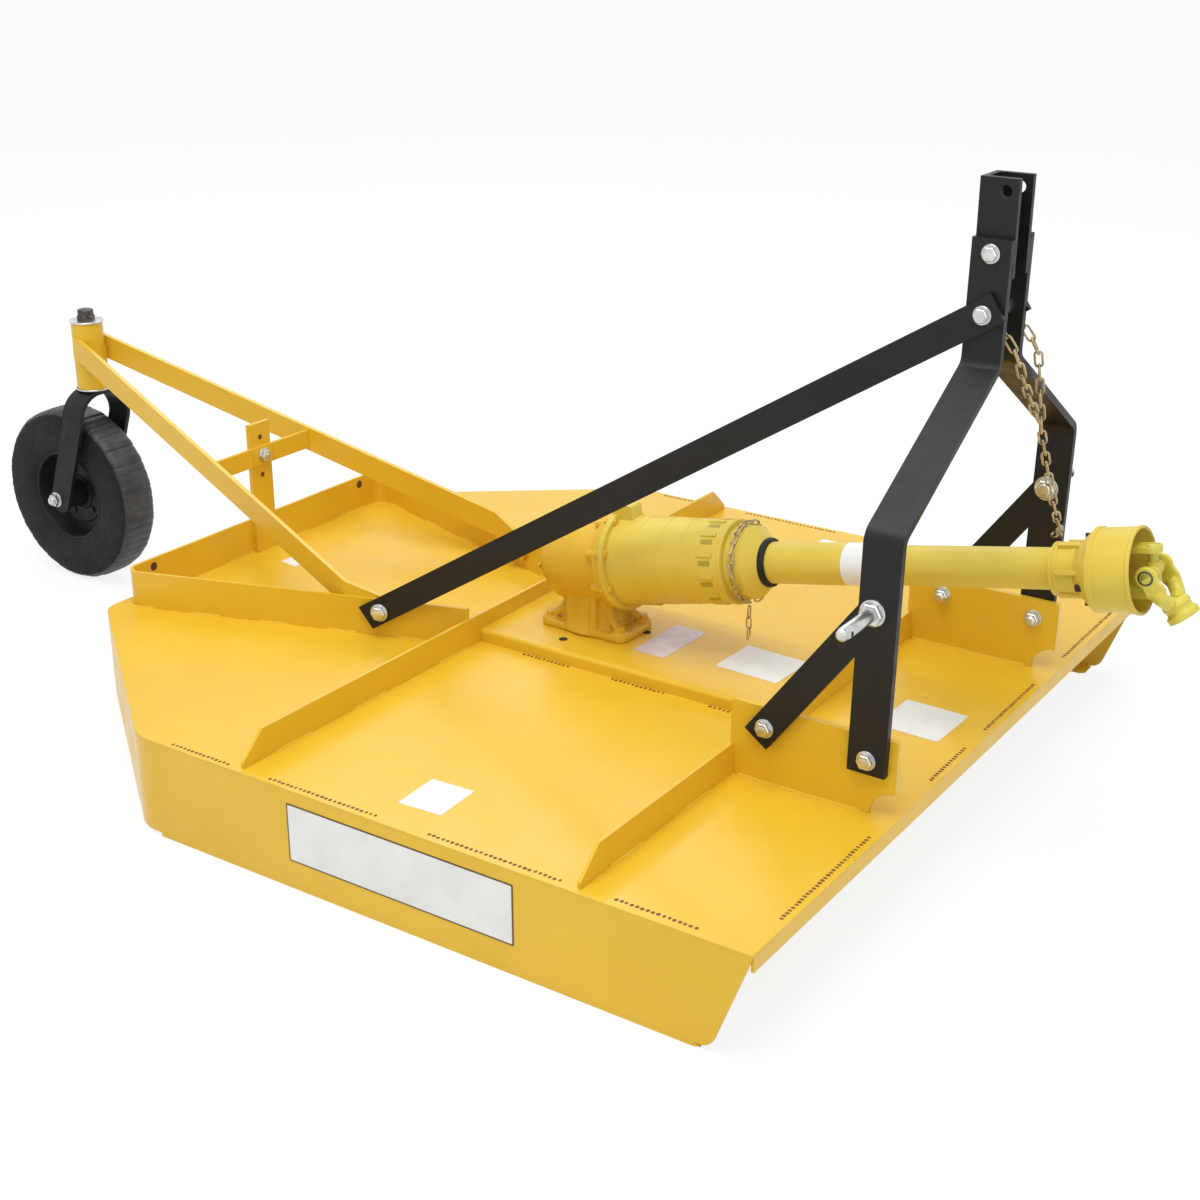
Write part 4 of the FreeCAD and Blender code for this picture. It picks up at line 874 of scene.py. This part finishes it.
def yoke_bore():
    """Mouth of the yoke's bore with the ends of its six splines, dark as painted shade inside the bore."""
    joint = on_line(JOINT_S, YOKE_DROOP)
    bm = bmesh.new()
    lathe(bm, [(86.8, 0), (86.8, 17.3), (87.9, 17.6), (87.9, 0)], joint, 40)
    for turn in range(0, 360, 60):
        patch(bm, joint, 86.9, 88.0, turn, turn + 30, 14.5, 17.8, 4)
    finish_piece("yoke_bore", bm, HOLE_SHADE, "front_yoke")


def yoke_snap_rings():
    """Retaining rings over the bearing caps in the yoke's ears."""
    joint = on_line(JOINT_S, YOKE_DROOP)
    bm = bmesh.new()
    for side in (-1, 1):
        place = joint @ Matrix.Translation((0, side * EAR_FACE * MM, 0))
        cap = place @ Matrix.Rotation(-side * math.pi / 2, 4, "X")
        lathe(bm, [(-0.5, 12.4), (0.4, 12.2), (0.6, 9.5), (-0.2, 8.8), (-0.2, 0)], cap, 32)
    finish_piece("yoke_snap_rings", bm, DARK_STEEL, "front_yoke")


def link_form(bm, matrix, length, width, wire):
    """Round-wire chain link with its long axis along the frame's X."""
    steps = 7
    sides = 8
    half = length / 2 - width / 2
    r = (width + wire) / 2
    path = []
    for side in (1, -1):
        for i in range(steps + 1):
            a = math.radians(-90 + 180 * i / steps)
            path.append(Vector((side * (half + r * math.cos(a)), side * r * math.sin(a), 0)))
    rings = []
    count = len(path)
    for i in range(count):
        run = (path[(i + 1) % count] - path[i - 1]).normalized()
        across = Vector((run.y, -run.x, 0))
        ring = []
        for k in range(sides):
            a = 2 * math.pi * k / sides
            point = path[i] + (across * math.cos(a) + Vector((0, 0, math.sin(a)))) * (wire / 2)
            ring.append(bm.verts.new(matrix @ (point * MM)))
        rings.append(ring)
    join_rings(bm, rings, closed=True)


def places_along(points, count):
    """Evenly spaced places on a line of points, one more than the count."""
    runs = [(b - a).length / MM for a, b in zip(points, points[1:])]
    total = sum(runs)
    places = []
    for i in range(count + 1):
        left = total * i / count
        k = 0
        while k < len(runs) - 1 and left > runs[k]:
            left -= runs[k]
            k += 1
        places.append(points[k].lerp(points[k + 1], left / runs[k]))
    return places


def chain(bm, points, size):
    """Links along a line of places, each turned a quarter from the last."""
    length, width, wire = size
    total = sum((b - a).length / MM for a, b in zip(points, points[1:]))
    count = round(total / (length - CHAIN_SLACK))
    places = places_along(points, count)
    for i in range(count):
        run = places[i + 1] - places[i]
        aim = Vector((1, 0, 0)).rotation_difference(run).to_matrix().to_4x4()
        turn = Matrix.Rotation(math.radians(90 * (i % 2)), 4, "X")
        middle = Matrix.Translation((places[i] + places[i + 1]) / 2)
        link_form(bm, middle @ aim @ turn, total / count + CHAIN_SLACK, width, wire)


def hitch_chain_links():
    """Long chain from the lower bolt to the left leg and its short inner strand."""
    x, z = LOWER_BOLT
    hang_x = 0.64
    foot_y = 339.15
    outer = [
        (x + 8, 64.7, 909.7), (hang_x, 84.7, z - 75), (hang_x, 102, z - 117), (hang_x, 137, z - 227),
        (hang_x, 215, z - 358), (hang_x, 252, z - 411), (hang_x - 3, foot_y - 52, z - 448),
        (hang_x - 14, foot_y - 22, z - 468), (-33.0, foot_y, z - 478),
    ]
    inner = [(x + 6, -4, 908.1), (hang_x - 3, 6, z - 72), (hang_x, 28, z - 112), (hang_x, 118.6, z - 206.6)]
    bm = bmesh.new()
    chain(bm, [at(*p) for p in outer], HITCH_LINK)
    chain(bm, [at(*p) for p in inner], HITCH_LINK)
    finish_piece("hitch_chain_links", bm, CHAIN, "mower_frame", ["hitch_chain"])


def guard_chain_links():
    """Chain round the guard's cone, resting on it, with its loose end hanging down."""
    length, width, wire = GUARD_LINK
    pitch = length - CHAIN_SLACK
    half = width / 2 + wire
    radius = CONE_R + half + (length + 2 * wire) ** 2 / (8 * CONE_R) - 1
    step = 2 * math.asin(pitch / 2 / radius)
    line = on_line(GUARD_CHAIN_S)
    around = []
    for i in range(GUARD_CHAIN_LINKS + 1):
        a = GUARD_CHAIN_START - i * step
        around.append(line @ (Vector((-radius * math.sin(a), radius * math.cos(a), 0)) * MM))
    end = around[0] - Vector((0, 0, (half + wire / 2 + LOOSE_GAP) * MM))
    bm = bmesh.new()
    chain(bm, around, GUARD_LINK)
    chain(bm, [end, end - Vector((0, 0, HANGING_LINKS * pitch * MM))], GUARD_LINK)
    finish_piece("guard_chain_links", bm, CHAIN, "mower_frame", ["guard_chain"])


def deck_labels():
    """Blank stickers on the deck, the channel and the tail."""
    # Name, x, y, height of the face, length, width, turn in degrees, look.
    rows = [
        ("label_deck_right", -649, -684, DECK_TOP, 84, 94, 3, WHITE),
        ("label_deck_left", -649, 684, DECK_TOP, 84, 94, -3, WHITE),
        ("label_channel_rear", -640, 11, CHANNEL_TOP, 68, 146, -2, LILAC),
        ("label_channel_front", -444, 16, CHANNEL_TOP, 132, 114, -3, WHITE),
        ("label_front", -120, 12, DECK_TOP, 120, 124, -2, WHITE),
        ("label_tail", -1566, -21, DECK_TOP, 50, 50, -8, WHITE),
    ]
    for name, x, y, z, length, width, turn, look in rows:
        bm = bmesh.new()
        place = Matrix.Translation(at(x, y, z)) @ Matrix.Rotation(math.radians(turn), 4, "Z")
        slab(bm, rounded_box(length, width, 4, 3), 0.05, 0.45, place)
        finish_piece(name, bm, look, "mower_frame")


def side_panel():
    """Large blank panel with a dark border on the right side band."""
    place = facing(at(-641.0, -DECK_HALF_WIDTH, 106.0), (0, -1, 0))
    bm = bmesh.new()
    slab(bm, rounded_box(460, 108, 3, 3), 0.05, 0.4, place)
    finish_piece("side_panel_border", bm, BORDER_AND_GAP_SHADE, "mower_frame")
    bm = bmesh.new()
    slab(bm, rounded_box(454, 102, 2, 3), 0.3, 0.7, place)
    finish_piece("side_panel", bm, WHITE, "mower_frame")


def stitch_marks():
    """Short burnt weld marks in rows on the deck."""
    # Rows of both sides, then those along the front edge: x and y of the start and of the end.
    sides = [
        (-1143, -789, -1005, -789), (-919, -788, -686, -786), (-587, -785, -331, -784),
        (-242, -782, -97, -781), (-871, -148, -762, -148), (-671, -148, -552, -148),
        (-461, -148, -386, -148),
    ]
    front = [(-14, -698, -14, -409), (-14, -190, -14, -44), (-14, 37, -14, 266), (-14, 409, -14, 698)]
    rows = sides + front + [(x0, -y0, x1, -y1) for x0, y0, x1, y1 in sides]
    bm = bmesh.new()
    random.seed(3)
    for x0, y0, x1, y1 in rows:
        count = int(math.hypot(x1 - x0, y1 - y0) / MARK_PITCH)
        for i in range(count):
            share = (i + 0.5) / count
            x = x0 + (x1 - x0) * share + random.uniform(-0.6, 0.6)
            y = y0 + (y1 - y0) * share + random.uniform(-0.8, 0.8)
            along = Vector((x1 - x0, y1 - y0, 0)).normalized() * random.uniform(2.2, 3.4)
            points = [at(x, y, DECK_TOP) + along * k * MM for k in (-1, -0.4, 0.4, 1)]
            tube_along(bm, points, [1.4, 3.6, 3.6, 1.4], 8, 0.3)
    finish_piece("stitch_marks", bm, STITCH, "mower_frame")


def bracket_welds(bm, side):
    """Beads along both faces of a hitch bracket."""
    for y in (side * BRACKET_OUTER, side * BRACKET_INNER):
        weld(bm, (-290, y, DECK_TOP), (-60, y, DECK_TOP), 4.8)


def tail_bar_welds(bm, side):
    """Beads inside and outside the tail frame's side bar, set in turn."""
    for k in range(5):
        x = -1020 - 140 * k
        for start, face in ((x, -TAIL_BAR_HALF), (x - 40, TAIL_BAR_HALF)):
            end = start - 60
            near = (start, side * (tail_bar_y(start) + face), DECK_TOP)
            far = (end, side * (tail_bar_y(end) + face), DECK_TOP)
            weld(bm, near, far)


def rib_welds(bm, side):
    """Beads along both faces of the front and the rear rib."""
    for rib in (FRONT_RIB_X, REAR_RIB_X):
        for x in (rib - RIB_HALF, rib + RIB_HALF):
            for y in (180, 420, 620):
                weld(bm, (x, side * y, DECK_TOP), (x, side * (y + 90), DECK_TOP))


def tail_post_welds(bm, side):
    """Beads up the swivel tube, up the crossbar over the post's edges and up the post's foot."""
    weld(bm, (SWIVEL_X + 20, side * 28, 508), (SWIVEL_X + 30, side * 19, 566), 3.2)
    y = side * POST_HALF
    weld(bm, (CROSSBAR_FACE + 1, y, 384), (CROSSBAR_FACE + 1, y, 420), 2.6)
    weld(bm, (POST_FRONT + 0.5, y, 186), (POST_FRONT + 0.5, y, 250), 3.0)


def weld_beads():
    """Painted beads of the brackets, the ribs, the tail frame, its post and the swivel tube."""
    bm = bmesh.new()
    for side in (-1, 1):
        bracket_welds(bm, side)
        tail_bar_welds(bm, side)
        rib_welds(bm, side)
        tail_post_welds(bm, side)
    rear = TAIL_REAR_X + TAIL_BAR_HALF + 0.5
    for y in (-330, -110, 60, 250):
        weld(bm, (rear, y, DECK_TOP), (rear, y + 80, DECK_TOP))
    finish_piece("weld_beads", bm, DECK, "mower_frame")


def channel_holes():
    """Bolt holes in the top of the channel, dark discs of painted shade."""
    bm = bmesh.new()
    for x, y in ((-814, -94), (-700, 22)):
        disc(bm, (x, y, CHANNEL_TOP), (0, 0, 1), 8.6)
    finish_piece("channel_holes", bm, HOLE_SHADE, "mower_frame")


def open_holes():
    """Bolt holes in the tail frame's rear bar, seen from both sides, and in the post: rust in them,
    darkened as painted shade.
    """
    reach = TAIL_BAR_HALF - 0.1
    bm = bmesh.new()
    for side in (-1, 1):
        for forward in (1, -1):
            disc(bm, (TAIL_REAR_X + forward * reach, side * 318, 243), (forward, 0, 0), 9)
    for z in (440, 356):
        disc(bm, (POST_FRONT + 0.1, 0, z), (1, 0, 0), 5.5)
    finish_piece("open_holes", bm, RUST_AND_SHADE, "mower_frame")


def seen_directly(tree):
    """1 for rays from the camera and for mirrored or refracted ones, 0 for the rest."""
    path = tree.nodes.new("ShaderNodeLightPath")
    total = path.outputs["Is Camera Ray"]
    for name in ("Is Glossy Ray", "Is Transmission Ray"):
        add = tree.nodes.new("ShaderNodeMath")
        add.operation = "ADD"
        add.use_clamp = True
        tree.links.new(total, add.inputs[0])
        tree.links.new(path.outputs[name], add.inputs[1])
        total = add.outputs["Value"]
    return total


def studio_floor():
    """Pale floor that glows where it is seen and still takes the shadow."""
    bpy.ops.mesh.primitive_plane_add(size=FLOOR_SIZE, location=(0, 0, 0))
    floor = bpy.context.object
    floor.name = "studio_floor"
    material, tree, shader = new_material("studio_white", (0.86, 0.86, 0.86), 0.9)
    glow = tree.nodes.new("ShaderNodeEmission")
    node_input(glow, "Color", (1, 1, 1, 1))
    node_input(glow, "Strength", FLOOR_STRENGTH)
    share = tree.nodes.new("ShaderNodeMath")
    share.operation = "MULTIPLY"
    share.inputs[1].default_value = FLOOR_GLOW
    mix = tree.nodes.new("ShaderNodeMixShader")
    output = tree.nodes["Material Output"]
    tree.links.new(seen_directly(tree), share.inputs[0])
    tree.links.new(share.outputs["Value"], mix.inputs["Fac"])
    tree.links.new(shader.outputs["BSDF"], mix.inputs[1])
    tree.links.new(glow.outputs["Emission"], mix.inputs[2])
    tree.links.new(mix.outputs["Shader"], output.inputs["Surface"])
    floor.data.materials.append(material)


def studio_world():
    """White surroundings, dimmer as a light than they look."""
    world = bpy.data.worlds.new("studio_world")
    world.use_nodes = True
    bpy.context.scene.world = world
    tree = world.node_tree
    back = tree.nodes["Background"]
    node_input(back, "Color", (1, 1, 1, 1))
    level = tree.nodes.new("ShaderNodeMapRange")
    level.inputs["To Min"].default_value = WORLD_LEVEL
    level.inputs["To Max"].default_value = 1.0
    tree.links.new(seen_directly(tree), level.inputs["Value"])
    tree.links.new(level.outputs["Result"], back.inputs["Strength"])


def studio_lamps():
    """Three soft square lamps that aim at the part."""
    # Name, place in metres, power in watts, size in metres.
    rows = [
        ("key", (0.6, -1.6, 6.0), 230, 4.0),
        ("fill", (5.5, -2.5, 3.0), 30, 3.0),
        ("rim", (-3.0, 4.0, 5.0), 60, 3.0),
    ]
    for name, place, power, size in rows:
        data = bpy.data.lights.new(name, "AREA")
        data.energy = power
        data.size = size
        lamp = bpy.data.objects.new(name, data)
        bpy.context.collection.objects.link(lamp)
        lamp.location = place
        aim = Vector(LAMP_AIM) - lamp.location
        lamp.rotation_euler = aim.to_track_quat("-Z", "Y").to_euler()


def photo_camera():
    """Camera where the photograph's stood, looking along its azimuth and down by its elevation."""
    data = bpy.data.cameras.new("photo_camera")
    data.sensor_width = SENSOR_WIDTH
    data.sensor_fit = "HORIZONTAL"
    data.lens = CAMERA_LENS
    data.clip_end = 100
    camera = bpy.data.objects.new("photo_camera", data)
    bpy.context.collection.objects.link(camera)
    a = math.radians(CAMERA_AZIMUTH)
    e = math.radians(CAMERA_ELEVATION)
    look = Vector((-math.sin(a) * math.cos(e), math.cos(a) * math.cos(e), -math.sin(e)))
    right = Vector((math.cos(a), math.sin(a), 0))
    up = right.cross(look)
    turn = Matrix((right, up, -look)).transposed().to_4x4()
    camera.matrix_world = Matrix.Translation(CAMERA_PLACE) @ turn
    bpy.context.scene.camera = camera


dress_nodes()
frame_bolts()
hitch_bolt_set()
lift_pin_set()
axle_bolt()
swivel_washers()
swivel_nut()
tyre()
wheel_fittings()
gearbox_casting()
gearbox_bolts()
flange_gap_shade()
guard_mouldings()
guard_slots()
guard_seal()
bell_mouldings()
bell_slots()
tube_band()
forged_yoke()
yoke_bore()
yoke_snap_rings()
hitch_chain_links()
guard_chain_links()
deck_labels()
side_panel()
stitch_marks()
weld_beads()
channel_holes()
open_holes()
studio_floor()
studio_world()
studio_lamps()
photo_camera()
bpy.context.scene.view_settings.view_transform = "Standard"
